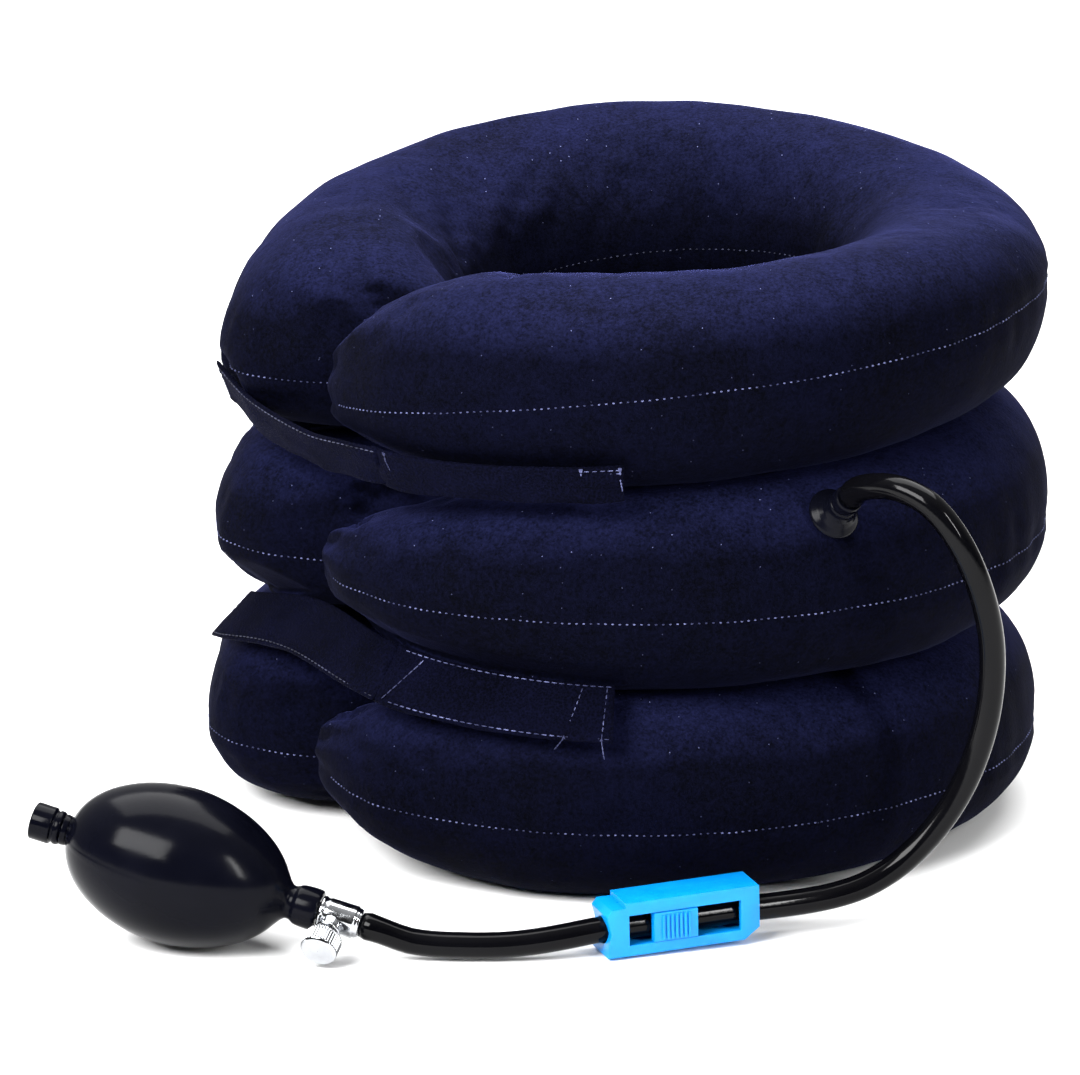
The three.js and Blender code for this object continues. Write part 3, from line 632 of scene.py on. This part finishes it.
finish_piece(make_knob(), "release_screw", CHROME, ["release_knob"])
lathe("release_needle_tip", [(1.9, 0.05), (2.6, 0.7), (3.5, 0.7), (3.5, 0.05)], ALONG_SCREW, "release_screw",
      STEEL, ["release_needle"], 0.15, 32)


def make_ring(name, place, ring_radius, thickness, offset):
    profile = [(offset + thickness * math.cos(a), ring_radius + thickness * math.sin(a))
               for a in round_angles(20)]
    return turned(name, profile, place, 64)


finish_piece(make_ring("seal_o_ring", ALONG_SCREW, 0.00193, 0.00036, 0.0056), "screw_carrier",
             SATIN_RUBBER, ["seal_ring"])


def make_ball(name, place, centre, radius, body, replaced):
    angles = np.linspace(0.01, math.pi - 0.01, 40)
    profile = np.stack([centre - radius * np.cos(angles), radius * np.sin(angles)], 1)
    ball = turned(name, profile, place, 48, closed=False)
    return finish_piece(ball, body, STEEL, [replaced])


make_ball("intake_check_ball", BULB_FRAME, INTAKE_FACE - 0.0066, 0.0017, "intake_check", "intake_ball")
make_ball("outlet_check_ball", VALVE_FRAME, NECK_END - 0.00165, 0.0015, "outlet_check", "outlet_ball")


# ---------- slide clamp ----------
def stand_in(name, source, body, mat, bevel=0.0):
    """A copy of a CAD node's mesh, with its edges rounded by bevel."""
    node_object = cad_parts[source]
    mesh = node_object.data.copy()
    mesh.transform(node_object.matrix_world)
    obj = add_object(name, mesh)
    bm = bmesh.new()
    bm.from_mesh(mesh)
    bmesh.ops.remove_doubles(bm, verts=bm.verts, dist=1e-7)
    bmesh.ops.dissolve_limit(bm, angle_limit=math.radians(2), verts=bm.verts, edges=bm.edges)
    bm.to_mesh(mesh)
    bm.free()
    if bevel:
        modifier = obj.modifiers.new("edges", "BEVEL")
        modifier.width, modifier.segments, modifier.limit_method = bevel, 3, "ANGLE"
        modifier.angle_limit = math.radians(30)
        apply_modifiers(obj)
    smooth_by_angle(obj)
    return finish_piece(obj, body, mat, [source])


clamp_body = stand_in("clamp_housing", "clamp_body", "root", PLASTIC, 0.00045)
clamp_slider = stand_in(
    "clamp_thumb_slider", "clamp_slider", "clamp_slide", PLASTIC, 0.00022)

# ---------- tiers ----------
# Edges of the two arms in plan: distance from the neck axis in mm, and angle in degrees.
LEFT_END = {
    "outer": [(68, 229), (79.5, 222.5), (93.5, 214.5), (109, 206.5), (125, 199)],
    "inner": [(63.5, 230.5), (60.5, 226), (58.5, 218), (58, 209), (58, 200)],
}
RIGHT_END = {
    "outer": [(134, -112), (133, -122), (128.5, -132), (122, -141), (115.5, -147.5), (110, -152)],
    "inner": [(58, -113), (61, -122), (70, -130.5), (82, -137.5), (96.5, -145), (107, -151)],
}
RING_FROM, RING_TO, RING_STEPS = 190, -101, 18
ROWS_SPACING = 0.0017
SECTION_POINTS = 96
RIDGE_SHARE = 0.22                    # of the full height that is left at a tip
END_TAPER = 0.090
TIP_CAP = 0.006
FLANK_POWER, RISE_POWER = 0.84, 0.88  # below 1 a section is fuller than an ellipse
SEAM_POINT = 0.3                      # how far a section is drawn out to a point at its seams
STITCH_PITCH, STITCH_FILL, STITCH_RADIUS = 0.0022, 0.36, 0.00025


def level(base, along_x=0.0, along_y=0.0):
    return lambda x, y: base + along_x * x + along_y * y


LEVELS = {
    "floor": level(0.00015), "bottomSeam": level(0.026), "lowerContact": level(0.065),
    "middleSeam": level(0.0935), "upperContact": level(0.1295, 0.053), "topSeam": level(0.1635, 0.07),
    "crown": level(0.198, 0.045, 0.06),
}
# How far the seam sinks at the tip of the lapping arm, and at the tip of the arm under it.
LAPPED_DROOP = {"bottom": -0.003, "middle": 0.0015, "top": 0.014}
UNDER_DROOP = {"bottom": 0.0025, "middle": 0.0055, "top": 0.0125}
LAPPED_REACH, UNDER_REACH = 0.13, 0.25
HOLE_SHIFT = {"bottom": 0, "middle": 0, "top": 0.007}
CROWN_FALL, CROWN_FLAT = 0.092, 0.03  # the top tier's sides are lower than its front and back
CROWN_DROP = 0.0005
CROWN_DROOP = 0.15                    # how much of the seam's droop the crown shares
BLUNT_SHARE, BLUNT_TAPER = 0.3, 0.06  # the upper half of the top tier's lapping arm ends blunt
# Shift along X, and growth of the outer edge.
PLAN_FIT = {"bottom": (-0.0035, 0), "middle": (-0.0006, 0), "top": (0, -0.0022)}
# Level under the tier and the gap from it, seam, level over the tier and the gap from it, body.
TIERS = {
    "bottom": ("floor", 0, "bottomSeam", "lowerContact", -0.001, "root"),
    "middle": ("lowerContact", 0.001, "middleSeam", "upperContact", -0.001, "middle_tier"),
    "top": ("upperContact", 0.001, "topSeam", "crown", 0, "top_tier"),
}


def plan_edges():
    """Outer and inner edge of a tier in plan, from its tucked left end to its lapping right end."""
    ring = np.linspace(RING_FROM, RING_TO, RING_STEPS + 1)
    outer = LEFT_END["outer"] + [(OUTER_RADIUS / MM, a) for a in ring] + RIGHT_END["outer"]
    inner = LEFT_END["inner"] + [(INNER_RADIUS / MM, a) for a in ring] + RIGHT_END["inner"]

    def flat(points):
        radius, angle = np.array(points, float).T
        angle = np.radians(angle)
        return np.stack([radius * MM * np.cos(angle), radius * MM * np.sin(angle)], 1)

    edges = through(np.concatenate([flat(outer), flat(inner)], 1), 16)
    middle = (edges[:, :2] + edges[:, 2:]) / 2
    return edges, distances(middle)


EDGES, EDGES_ALONG = plan_edges()
TIER_LENGTH = EDGES_ALONG[-1]


def smooth_step(value):
    value = np.clip(value, 0, 1)
    return value * value * (3 - 2 * value)


def tier_grid(tier, rows, columns):
    """The tier's skin as rows of closed loops, with each row's place and its height limits."""
    base_name, base_lift, seam_name, crown_name, crown_lift, _ = TIERS[tier]
    along = np.linspace(0, TIER_LENGTH, rows)
    edges = at_distance(EDGES, EDGES_ALONG, along)
    outer, inner = edges[:, :2], edges[:, 2:]
    shift, grown = PLAN_FIT[tier]
    across_plan = outer - inner
    outer = outer + grown * across_plan / np.linalg.norm(across_plan, axis=1)[:, None]
    near = np.minimum(along, TIER_LENGTH - along)
    inner = inner + np.outer(HOLE_SHIFT[tier] * np.minimum(1, near / END_TAPER), [1, 0])
    middle, half = (outer + inner) / 2 + [shift, 0], (outer - inner) / 2
    share = RIDGE_SHARE + (1 - RIDGE_SHARE) * np.sin(math.pi / 2 * np.minimum(1, near / END_TAPER))
    closing = np.sqrt(np.clip(1 - (1 - np.minimum(1, near / TIP_CAP)) ** 2, 0.02, 1))
    angles = round_angles(columns)
    quarter = np.arccos(np.abs(np.cos(angles))) / (math.pi / 2)
    rounding = np.abs(np.cos(angles)) ** FLANK_POWER
    across = np.sign(np.cos(angles)) * ((1 - SEAM_POINT) * rounding + SEAM_POINT * (1 - quarter))
    rise = np.sign(np.sin(angles)) * np.abs(np.sin(angles)) ** RISE_POWER
    plan = middle[:, None] + half[:, None] * (across[None, :, None] * closing[:, None, None])
    x, y = plan[..., 0], plan[..., 1]
    lapped = np.clip(1 - (TIER_LENGTH - along) / LAPPED_REACH, 0, 1) ** 2
    under = np.clip(1 - along / UNDER_REACH, 0, 1) ** 1.5
    droop = (LAPPED_DROOP[tier] * lapped + UNDER_DROOP[tier] * under)[:, None]
    seam = LEVELS[seam_name](x, y) - droop
    top = LEVELS[crown_name](x, y) + crown_lift
    share = np.repeat(share[:, None], columns, 1)
    if tier == "top":
        sides = (np.hypot(x, CROWN_FLAT) - CROWN_FLAT) * smooth_step((y + 0.11) / 0.12)
        top = top - CROWN_DROP - CROWN_FALL * sides - CROWN_DROOP * (LAPPED_DROOP[tier] * lapped)[:, None]
        to_tip = np.minimum(1, (TIER_LENGTH - along) / BLUNT_TAPER)
        blunt = BLUNT_SHARE + (1 - BLUNT_SHARE) * np.sin(math.pi / 2 * to_tip)
        upper_half = (rise[None] > 0) & (along[:, None] > TIER_LENGTH / 2)
        share = np.where(upper_half, blunt[:, None], share)
    bottom = LEVELS[base_name](x, y) + base_lift
    limit = np.where(rise[None] >= 0, top, bottom)
    z = seam + (limit - seam) * share * closing[:, None] * np.abs(rise)[None]
    points = np.stack([x, y, z], 2)
    return {"points": points, "along": along, "near": near, "angles": angles, "top": top, "bottom": bottom}


def grid_normals(points):
    du = np.gradient(points, axis=0)
    dv = np.roll(points, -1, axis=1) - np.roll(points, 1, axis=1)
    normal = np.cross(dv, du)
    normal /= np.maximum(np.linalg.norm(normal, axis=2, keepdims=True), 1e-12)
    outward = points - points.mean(1, keepdims=True)
    sign = np.sign((normal * outward).sum(2).mean())
    return normal * sign


def noise_field(points, scale, seed):
    flat = points.reshape(-1, 3) * scale + np.array([seed * 7.3, seed * 3.1, seed * 5.7])
    values = [noise.noise(Vector(p)) for p in flat]
    return np.array(values).reshape(points.shape[:2])


def seam_distance(points, column):
    """Distance of every point from the seam, measured round the section."""
    steps = np.linalg.norm(np.roll(points, -1, axis=1) - points, axis=2)
    columns = points.shape[1]
    total = np.concatenate([np.zeros((len(points), 1)), np.cumsum(steps, axis=1)], 1)
    whole = total[:, -1:]
    gap = np.abs(total[:, :columns] - total[:, column:column + 1])
    return np.minimum(gap, whole - gap)


# ---------- straps ----------
STRAP_THICKNESS = 0.0015
STRAP_RISE = 0.012
LOWER_STRAP_RISE = 0.0145
STRAP_SPACING, STRAP_COLUMNS = 0.0012, 17
STRAP_THREAD_RADIUS = 0.0002
PAD_RISE, PAD_THICKNESS = 0.008, 0.0008
EVEN_RADIUS = 0.13                    # turns angles into lengths, so that points along a strap are even
# Each point: distance from the neck axis in mm, angle in degrees, height over the contact plane in mm.
STRAPS = {
    "lower": {
        "contact": "lowerContact", "lean": -0.011, "slack": 0.0008, "body": ("root", "lower_strap"),
        "rests_on": "bottom_tier_cushion",
        "base": [(134.6, -93.3, -8.9), (135, -99, -8.4), (135, -106, -7.6), (134.9, -113, -6.6),
                 (134.4, -120, -5.4), (133.4, -126.2, -4.2), (131.2, -129.2, -3.9)],
        "flap": [(133.4, -127.4, -4), (129.5, -134, -3.2), (125.5, -142, -2.4), (123.6, -150, -2.4),
                 (125, -158, -3.8), (129, -165, -6.4), (133.4, -171, -9.4), (135.4, -176, -12)],
        "pad": [(130.8, -169.5, -7.6), (131.8, -172.5, -9.2), (132.8, -175, -10.6)],
    },
    "upper": {
        "contact": "upperContact", "lean": 0.005, "slack": 0.0022, "body": ("top_tier", "upper_strap"),
        "rests_on": "top_tier_cushion",
        "base": [(127.5, -92, 2), (127.8, -99, 2), (127.8, -106, 2), (127.6, -113, 2.2),
                 (127, -120, 2.6), (125.8, -126.2, 3.2), (123.6, -129.2, 3.4)],
        "flap": [(125.8, -127.4, 3.4), (123.4, -134, 3.2), (121.2, -142, 2.2), (120.4, -150, 3),
                 (121, -158, 4.2), (122.6, -165, 5.6), (124.8, -171, 7.6), (127.6, -176, 9.6)],
        "pad": [(122.8, -169.5, 6.4), (123.8, -172.5, 8), (125, -175, 9.6)],
    },
}


def strap_lines(strap, part_name):
    """Lower edge of the strap as fine points, the outward direction at each, and its angle."""
    points = np.array(strap[part_name], float)
    line = resample(through(points, 10) * [MM, math.radians(1) * EVEN_RADIUS, MM], STRAP_SPACING)
    radius, angle, height = line[:, 0], line[:, 1] / EVEN_RADIUS, line[:, 2]
    x, y = radius * np.cos(angle), radius * np.sin(angle)
    z = LEVELS[strap["contact"]](x, y) + height
    return np.stack([x, y, z], 1), np.stack([np.cos(angle), np.sin(angle), 0 * angle], 1), angle


def make_band(name, strap, part_name, rise, thickness, ripple):
    """A woven strip with rounded edges. Its middle face is lower edge + share * (lean, rise)."""
    edge, radial, _ = strap_lines(strap, part_name)
    lean = strap["lean"] * rise / STRAP_RISE
    up = radial * lean + np.array([0, 0, rise])
    width = np.linalg.norm([lean, rise])
    tangent = np.gradient(edge, axis=0)
    tangent /= np.linalg.norm(tangent, axis=1)[:, None]
    outward = np.cross(tangent, up / width)
    outward *= np.sign((outward * radial).sum(1))[:, None]
    shares = (1 - np.cos(np.linspace(0, math.pi, STRAP_COLUMNS))) / 2
    round_edges = np.sqrt(np.clip(1 - (np.abs(2 * shares - 1)) ** 14, 0.0, 1)) + 0.25
    half = thickness / 2 * np.minimum(1, round_edges)
    along = distances(edge)
    centre = edge + radial * thickness / 2
    loops = []
    for i in range(len(edge)):
        row = centre[i] + shares[:, None] * up[i]
        wave = np.array([noise.noise(Vector((along[i] * 60, s * 2.2, 3.1 + len(name)))) for s in shares])
        row = row + outward[i] * np.clip(ripple * wave * (1.2 - shares), -0.0002, 0.003)[:, None]
        sag = np.clip(noise.noise(Vector((along[i] * 38, 0.4, 7.7))), 0, 1)
        row[:, 2] -= ripple * 1.4 * sag * (1 - shares) ** 2
        fade = min(1, 0.35 + min(i, len(edge) - 1 - i) / 1.5)
        outer = row + outward[i] * (half * fade)[:, None]
        inner = row - outward[i] * (half * fade)[:, None]
        loops.append(np.concatenate([outer, inner[::-1]]))
    return skin(name, placed(loops)), {
        "edge": edge, "up": up, "outward": outward, "along": along, "radial": radial, "width": width,
        "thickness": thickness}


def strap_point(info, distance, share, lift):
    """A point on the strap's outer face, at that distance along and that share of its width."""
    edge, radial, up, outward = (
        at_distance(info[key], info["along"], distance) for key in ("edge", "radial", "up", "outward"))
    point = edge + radial * info["thickness"] / 2 + up * share
    return placed(point + outward * (info["thickness"] / 2 + lift))


# ---------- stitches ----------
FIRST_STITCH = 0.15                   # in pitches, from the start of the line
RUN_PITCH, RUN_FILL = 0.0024, 0.7


def capsules(name, spans, radius, sides=6):
    """Short round-ended threads between pairs of points, as one mesh."""
    vertices, faces = [], []
    for start, end in spans:
        start, end = np.array(start, float), np.array(end, float)
        axis = end - start
        size = np.linalg.norm(axis)
        if size < 1e-7:
            continue
        axis /= size
        side = np.cross(axis, [0.3, 0.2, 1.0])
        side /= np.linalg.norm(side)
        up = np.cross(axis, side)
        first = len(vertices)
        for share, width in ((0, 0.35), (0.14, 0.85), (0.5, 1.1), (0.86, 0.85), (1, 0.35)):
            for k in range(sides):
                a = 2 * math.pi * k / sides
                around = math.cos(a) * side + math.sin(a) * up
                vertices.append(start + axis * size * share + radius * width * around)
        faces += [tuple(first + i for i in face) for face in grid_faces(5, sides)]
        faces.append(tuple(first + k for k in range(sides))[::-1])
        faces.append(tuple(first + 4 * sides + k for k in range(sides)))
    return fix_normals(new_object(name, vertices, faces))


def dashes(line, pitch, fill):
    """Pairs of points along a line, one pair for each stitch."""
    line = np.asarray(line, float)
    along = distances(line)
    starts = np.arange(int(along[-1] / pitch)) + FIRST_STITCH
    ends = starts + fill
    return list(zip(at_distance(line, along, starts * pitch), at_distance(line, along, ends * pitch)))


SKIN_GAP = 0.0011                     # between a cushion and the strap over it
EASE_SLOPE, EASE_REACH = 1.4, 0.012   # how the skin comes out again above and below the strap


def strap_clearance(points):
    """Draws the skin in behind the straps, which lie in the hollow between two tiers."""
    x, y, z = points[..., 0], points[..., 1], points[..., 2]
    radius = np.hypot(x, y)
    angle = np.arctan2(y, x)
    for strap in STRAPS.values():
        for part_name in ("base", "flap", "pad"):
            edge, _, angles = strap_lines(strap, part_name)
            order = np.argsort(angles)
            a, r, h = angles[order], np.hypot(edge[:, 0], edge[:, 1])[order], edge[order, 2]
            turned_angle = np.where(angle > a[-1] + 0.5, angle - 2 * math.pi, angle)
            inside = (turned_angle > a[0] - 0.02) & (turned_angle < a[-1] + 0.02)
            edge_radius = np.interp(turned_angle, a, r)
            edge_height = np.interp(turned_angle, a, h)
            share = np.clip((z - edge_height) / STRAP_RISE, -0.1, 1.3)
            limit = edge_radius + strap["lean"] * share - SKIN_GAP
            outside = np.maximum(edge_height - 0.001 - z, z - edge_height - LOWER_STRAP_RISE - 0.001)
            limit = limit + np.clip(outside, 0, None) * EASE_SLOPE
            near_strap = inside & (outside < EASE_REACH)
            radius = np.where(near_strap & (radius > limit), limit, radius)
    scale = radius / np.maximum(np.hypot(x, y), 1e-9)
    return np.stack([x * scale, y * scale, z], 2)


# ---------- padding ----------
CLOTH_ROWS, CLOTH_COLUMNS = 150, 40
CLOTH_CAP = 0.0032                    # the farthest that the air may move a point
CLOTH_FRAMES = 20


def cloth_displacement(tier):
    """Inflates a coarse skin of the tier with its seams held, and returns how far each point went."""
    grid = tier_grid(tier, CLOTH_ROWS, CLOTH_COLUMNS)
    points = grid["points"]
    obj = skin(f"{tier}_cloth", points)
    seams = [0, CLOTH_COLUMNS // 2]
    held = [i * CLOTH_COLUMNS + c for i in range(CLOTH_ROWS) for c in seams]
    last_row = (CLOTH_ROWS - 1) * CLOTH_COLUMNS
    held += list(range(CLOTH_COLUMNS)) + list(range(last_row, CLOTH_ROWS * CLOTH_COLUMNS + 2))
    group = obj.vertex_groups.new(name="seams")
    group.add(held, 1.0, "REPLACE")
    cloth = obj.modifiers.new("air", "CLOTH")
    settings = cloth.settings
    settings.quality = 6
    settings.mass = 0.25
    settings.tension_stiffness = settings.compression_stiffness = 22
    settings.shear_stiffness = 8
    settings.bending_stiffness = 0.4
    settings.use_pressure = True
    settings.uniform_pressure_force = 4
    settings.shrink_min = -0.03
    settings.vertex_group_mass = "seams"
    settings.effector_weights.gravity = 0
    cloth.collision_settings.use_self_collision = False
    cloth.collision_settings.use_collision = False
    cloth.point_cache.frame_start, cloth.point_cache.frame_end = 1, CLOTH_FRAMES
    scene = bpy.context.scene
    for number in range(1, CLOTH_FRAMES + 1):
        scene.frame_set(number)
    evaluated = obj.evaluated_get(bpy.context.evaluated_depsgraph_get())
    moved = np.array([v.co for v in evaluated.data.vertices])[:CLOTH_ROWS * CLOTH_COLUMNS]
    moved = moved.reshape(points.shape) - points
    scene.frame_set(1)
    bpy.data.objects.remove(obj)
    size = np.linalg.norm(moved, axis=2, keepdims=True)
    return moved * np.minimum(1, CLOTH_CAP / np.maximum(size, 1e-9))


def spread(field, rows, columns):
    """A coarse field of vectors, smoothly spread over a finer grid that is closed in its columns."""
    coarse_rows, coarse_columns = field.shape[:2]
    u = np.linspace(0, coarse_rows - 1, rows)
    v = np.arange(columns) * coarse_columns / columns
    i, j = np.minimum(u.astype(int), coarse_rows - 2), v.astype(int)
    s, t = (u - i)[:, None, None], (v - j)[None, :, None]
    s, t = s * s * (3 - 2 * s), t * t * (3 - 2 * t)
    k = (j + 1) % coarse_columns
    upper = field[i][:, j] * (1 - t) + field[i][:, k] * t
    lower = field[i + 1][:, j] * (1 - t) + field[i + 1][:, k] * t
    return upper * (1 - s) + lower * s


SWELL, RIPPLE = 0.0011, 0.0004
GATHER_HEIGHT, GATHER_COUNT, GATHER_REACH = 0.0012, 9, 0.024
PUCKER_HEIGHT, PUCKER_REACH = 0.0009, 0.009
FOLD_HEIGHT, FOLD_REACH = 0.0014, 0.016
SEAM_DEPTH, SEAM_WIDTH = 0.0007, 0.0024
PUFF_ABOVE = 0.004                    # how far the top tier may swell over its crown


def tier_skin(tier, number):
    rows = int(TIER_LENGTH / ROWS_SPACING)
    columns = SECTION_POINTS
    grid = tier_grid(tier, rows, columns)
    points = grid["points"]
    from_seam = np.minimum(seam_distance(points, 0), seam_distance(points, columns // 2))
    held = 0.2 + 0.8 * smooth_step(from_seam / 0.026)
    points = points + spread(cloth_displacement(tier), rows, columns) * held[..., None]
    normals = grid_normals(points)
    along = grid["along"][:, None]
    near = grid["near"][:, None]
    outer_gap = seam_distance(points, 0)
    inner_gap = seam_distance(points, columns // 2)
    swell = SWELL * noise_field(points, 24, number) + RIPPLE * noise_field(points, 70, number + 9)
    ends = np.exp(-near / GATHER_REACH) * smooth_step(near / 0.014)
    folds = grid["angles"][None] * GATHER_COUNT + 3 * noise_field(points, 30, number + 4)
    apart = np.full_like(outer_gap, number * 0.1)
    lengthwise = along + 0 * outer_gap
    pucker = noise_field(np.stack([lengthwise, 0.12 * outer_gap, apart], 2), 150, 2)
    inner_fold = noise_field(np.stack([lengthwise, 0.15 * inner_gap, apart], 2), 75, 6)
    move = swell + GATHER_HEIGHT * ends * np.sin(folds)
    move += PUCKER_HEIGHT * pucker * np.exp(-outer_gap / PUCKER_REACH)
    move += FOLD_HEIGHT * inner_fold * np.exp(-inner_gap / FOLD_REACH)
    for gap in (outer_gap, inner_gap):
        move -= SEAM_DEPTH * np.exp(-(gap / SEAM_WIDTH) ** 2)
    move *= 0.25 + 0.75 * smooth_step(near / 0.010)
    points = points + normals * move[..., None]
    points = strap_clearance(points)
    top = grid["top"] + (PUFF_ABOVE if tier == "top" else 0)
    points[..., 2] = np.clip(points[..., 2], grid["bottom"], top)
    return points, grid_normals(points)


STITCH_LIFT, TAIL_LIFT = 0.0001, 0.0003
UNSTITCHED = 14                       # rows left bare at each tip
BLADDER_SHARE = 0.86                  # of the cushion's section
for number, (tier, facts) in enumerate(TIERS.items()):
    body = facts[-1]
    points, normals = tier_skin(tier, number)
    padding = skin(f"{tier}_tier_cushion", placed(points))
    soft_piece(padding, body, VELVET, [f"{tier}_tier_upper_panel", f"{tier}_tier_lower_panel"])
    inside = points[6:-6:4, ::4]
    inside = inside.mean(1, keepdims=True) + BLADDER_SHARE * (inside - inside.mean(1, keepdims=True))
    bladder = skin(f"{tier}_air_bladder", placed(inside))
    soft_piece(bladder, body, LATEX, [f"{tier}_bladder"])
    for edge, column, thread in (("outer", 0, THREAD), ("inner", SECTION_POINTS // 2, SHADE_DARKENED_THREAD)):
        line = placed(points[:, column] + normals[:, column] * STITCH_LIFT)[UNSTITCHED:-UNSTITCHED]
        spans = dashes(line, STITCH_PITCH, STITCH_FILL)
        seam = capsules(f"{tier}_tier_{edge}_stitches", spans, STITCH_RADIUS)
        soft_piece(seam, body, thread)


def thread_tail(info, distance, share_up, length, lean):
    """A loose end of thread, hanging from a point on the strap."""
    point = strap_point(info, distance, share_up, TAIL_LIFT)
    knots = [point + length * np.array([lean * share, -0.12 * math.sin(3 * share), -share])
             for share in np.linspace(0, 1, 5)]
    return list(zip(knots[:-1], knots[1:]))


def across_strap(info, from_low, from_high, low=0.05, high=0.95, pitch=STITCH_PITCH, fill=RUN_FILL):
    """Stitches across a strap, from its lower edge at one distance to its upper edge at another."""
    line = [strap_point(info, from_low + (from_high - from_low) * t, low + (high - low) * t, STITCH_LIFT)
            for t in np.linspace(0, 1, 12)]
    return dashes(line, pitch, fill)


def along_strap(info, share, start, end):
    line = [strap_point(info, d, share, STITCH_LIFT) for d in np.arange(start, end, 0.001)]
    return dashes(line, RUN_PITCH, RUN_FILL)


def bar_tack(info, distance, low, high):
    """A dense knot of short threads where a strap is sewn down."""
    spans = []
    for step in (-0.0005, 0, 0.0005):
        spans += across_strap(info, distance + step, distance - step, low, high, 0.0016, 0.98)
    return spans


def strap_stitches(side, part_name, info):
    """Thread runs as on the real straps. Distances start at the strap's right end."""
    length = info["along"][-1]
    if part_name == "flap":
        edge = 0.05 if side == "lower" else 0.95
        spans = along_strap(info, edge, 0.0005, length - 0.001)
        return spans + across_strap(info, length - 0.0025, length - 0.0025)
    fold = length - 0.0075            # where the flap folds away
    if side == "lower":
        spans = along_strap(info, 0.05, 0.0008, fold) + along_strap(info, 0.95, 0.0008, fold)
        spans += across_strap(info, fold, fold - 0.010, fill=0.92)
        spans += across_strap(info, 0.0035, 0.0025) + across_strap(info, 0.0150, 0.0105)
        spans += thread_tail(info, 0.0035, 0.02, 0.006, 0.15)
        spans += thread_tail(info, 0.0150, 0.02, 0.0035, -0.8)
        spans += bar_tack(info, 0.0035, 0.0, 0.12) + bar_tack(info, 0.0150, 0.0, 0.12)
        return spans
    spans = along_strap(info, 0.93, 0.0005, 0.0135) + along_strap(info, 0.84, 0.0005, 0.0125)
    spans += bar_tack(info, 0.0012, 0.5, 1.06) + bar_tack(info, 0.0125, 0.5, 1.06)
    spans += bar_tack(info, fold, 0.75, 1.0)
    spans += thread_tail(info, 0.0012, 0.7, 0.004, 0.2)
    spans += thread_tail(info, fold, 0.8, 0.0035, 0.5)
    return spans


for side, strap in STRAPS.items():
    fixed_body, flap_body = strap["body"]
    full_rise = LOWER_STRAP_RISE if side == "lower" else STRAP_RISE
    for part_name, body in (("base", fixed_body), ("flap", flap_body), ("pad", fixed_body)):
        if part_name == "pad":
            pad, _ = make_band(f"{side}_hook_tape", strap, part_name, PAD_RISE, PAD_THICKNESS, 0.0)
            soft_piece(pad, body, HOOK, [f"{side}_hook_pad"])
            continue
        strip, info = make_band(f"{side}_{part_name}_strip", strap, part_name, full_rise, STRAP_THICKNESS,
                                strap["slack"])
        soft_piece(strip, body, STRAP, [f"{side}_strap_{part_name}"])
        spans = strap_stitches(side, part_name, info)
        threads = capsules(f"{side}_{part_name}_stitches", spans, STRAP_THREAD_RADIUS)
        soft_piece(threads, body, SHADE_DARKENED_THREAD if part_name == "flap" else THREAD)

# ---------- hidden soft pieces ----------
for level_name, body in (("lower", "root"), ("upper", "middle_tier")):
    for kind, slot_name, mat in (("join_web", "strap_fabric", STRAP), ("air_link", "bladder_rubber", LATEX)):
        source = f"{level_name}_{kind}"
        flatten_with_air(stand_in(f"{source}_soft", source, body, mat))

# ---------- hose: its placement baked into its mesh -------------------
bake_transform(hose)

# ---------- floor and light ----------
floor_material = material("pale_floor", (0.9, 0.9, 0.9), 0.6, Specular_IOR_Level=0.1)[0]
FLOOR_CORNERS = [(-5, -5), (5, -5), (5, 5), (-5, 5)]
floor = skin("floor", [[(x, y, z) for x, y in FLOOR_CORNERS] for z in (-0.0005, -0.02)], smooth=False)
floor.data.materials.append(floor_material)


def area_light(name, place, target, size, power):
    data = bpy.data.lights.new(name, "AREA")
    data.shape, data.size, data.size_y = "RECTANGLE", size[0], size[1]
    data.energy = power
    lamp = add_object(name, data)
    lamp.location = place
    lamp.rotation_euler = (Vector(target) - Vector(place)).to_track_quat("-Z", "Y").to_euler()


area_light("softbox_left", (-0.62, -0.75, 0.72), (-0.1, -0.13, 0.03), (0.72, 0.5), 30)
area_light("softbox_right", (0.75, -0.9, 0.6), (0.0, -0.1, 0.08), (0.07, 0.55), 9)
area_light("ceiling_panel", (0, 0.75, 1.9), (0, 0.15, 0), (2.6, 1.8), 98)

# Bright behind and above, dark towards the viewer, so that black rubber stays black.
world = bpy.data.worlds.new("studio")
world.use_nodes = True
sky = world.node_tree
seen_way = node(sky, "ShaderNodeTexCoord").outputs["Generated"]
direction = node(sky, "ShaderNodeSeparateXYZ", {"Vector": seen_way})
behind = calculate(sky, "MULTIPLY", direction.outputs[1], 0.5)
above = calculate(sky, "MULTIPLY", direction.outputs[2], 0.7)
bright = calculate(sky, "ADD", behind, above)
vary(sky, sky.nodes["Background"], "Color", bright, [(0.0, (0.03,)), (0.3, (0.4,)), (0.7, (0.8,))])
bpy.context.scene.world = world
bpy.context.scene.view_settings.view_transform = "Standard"
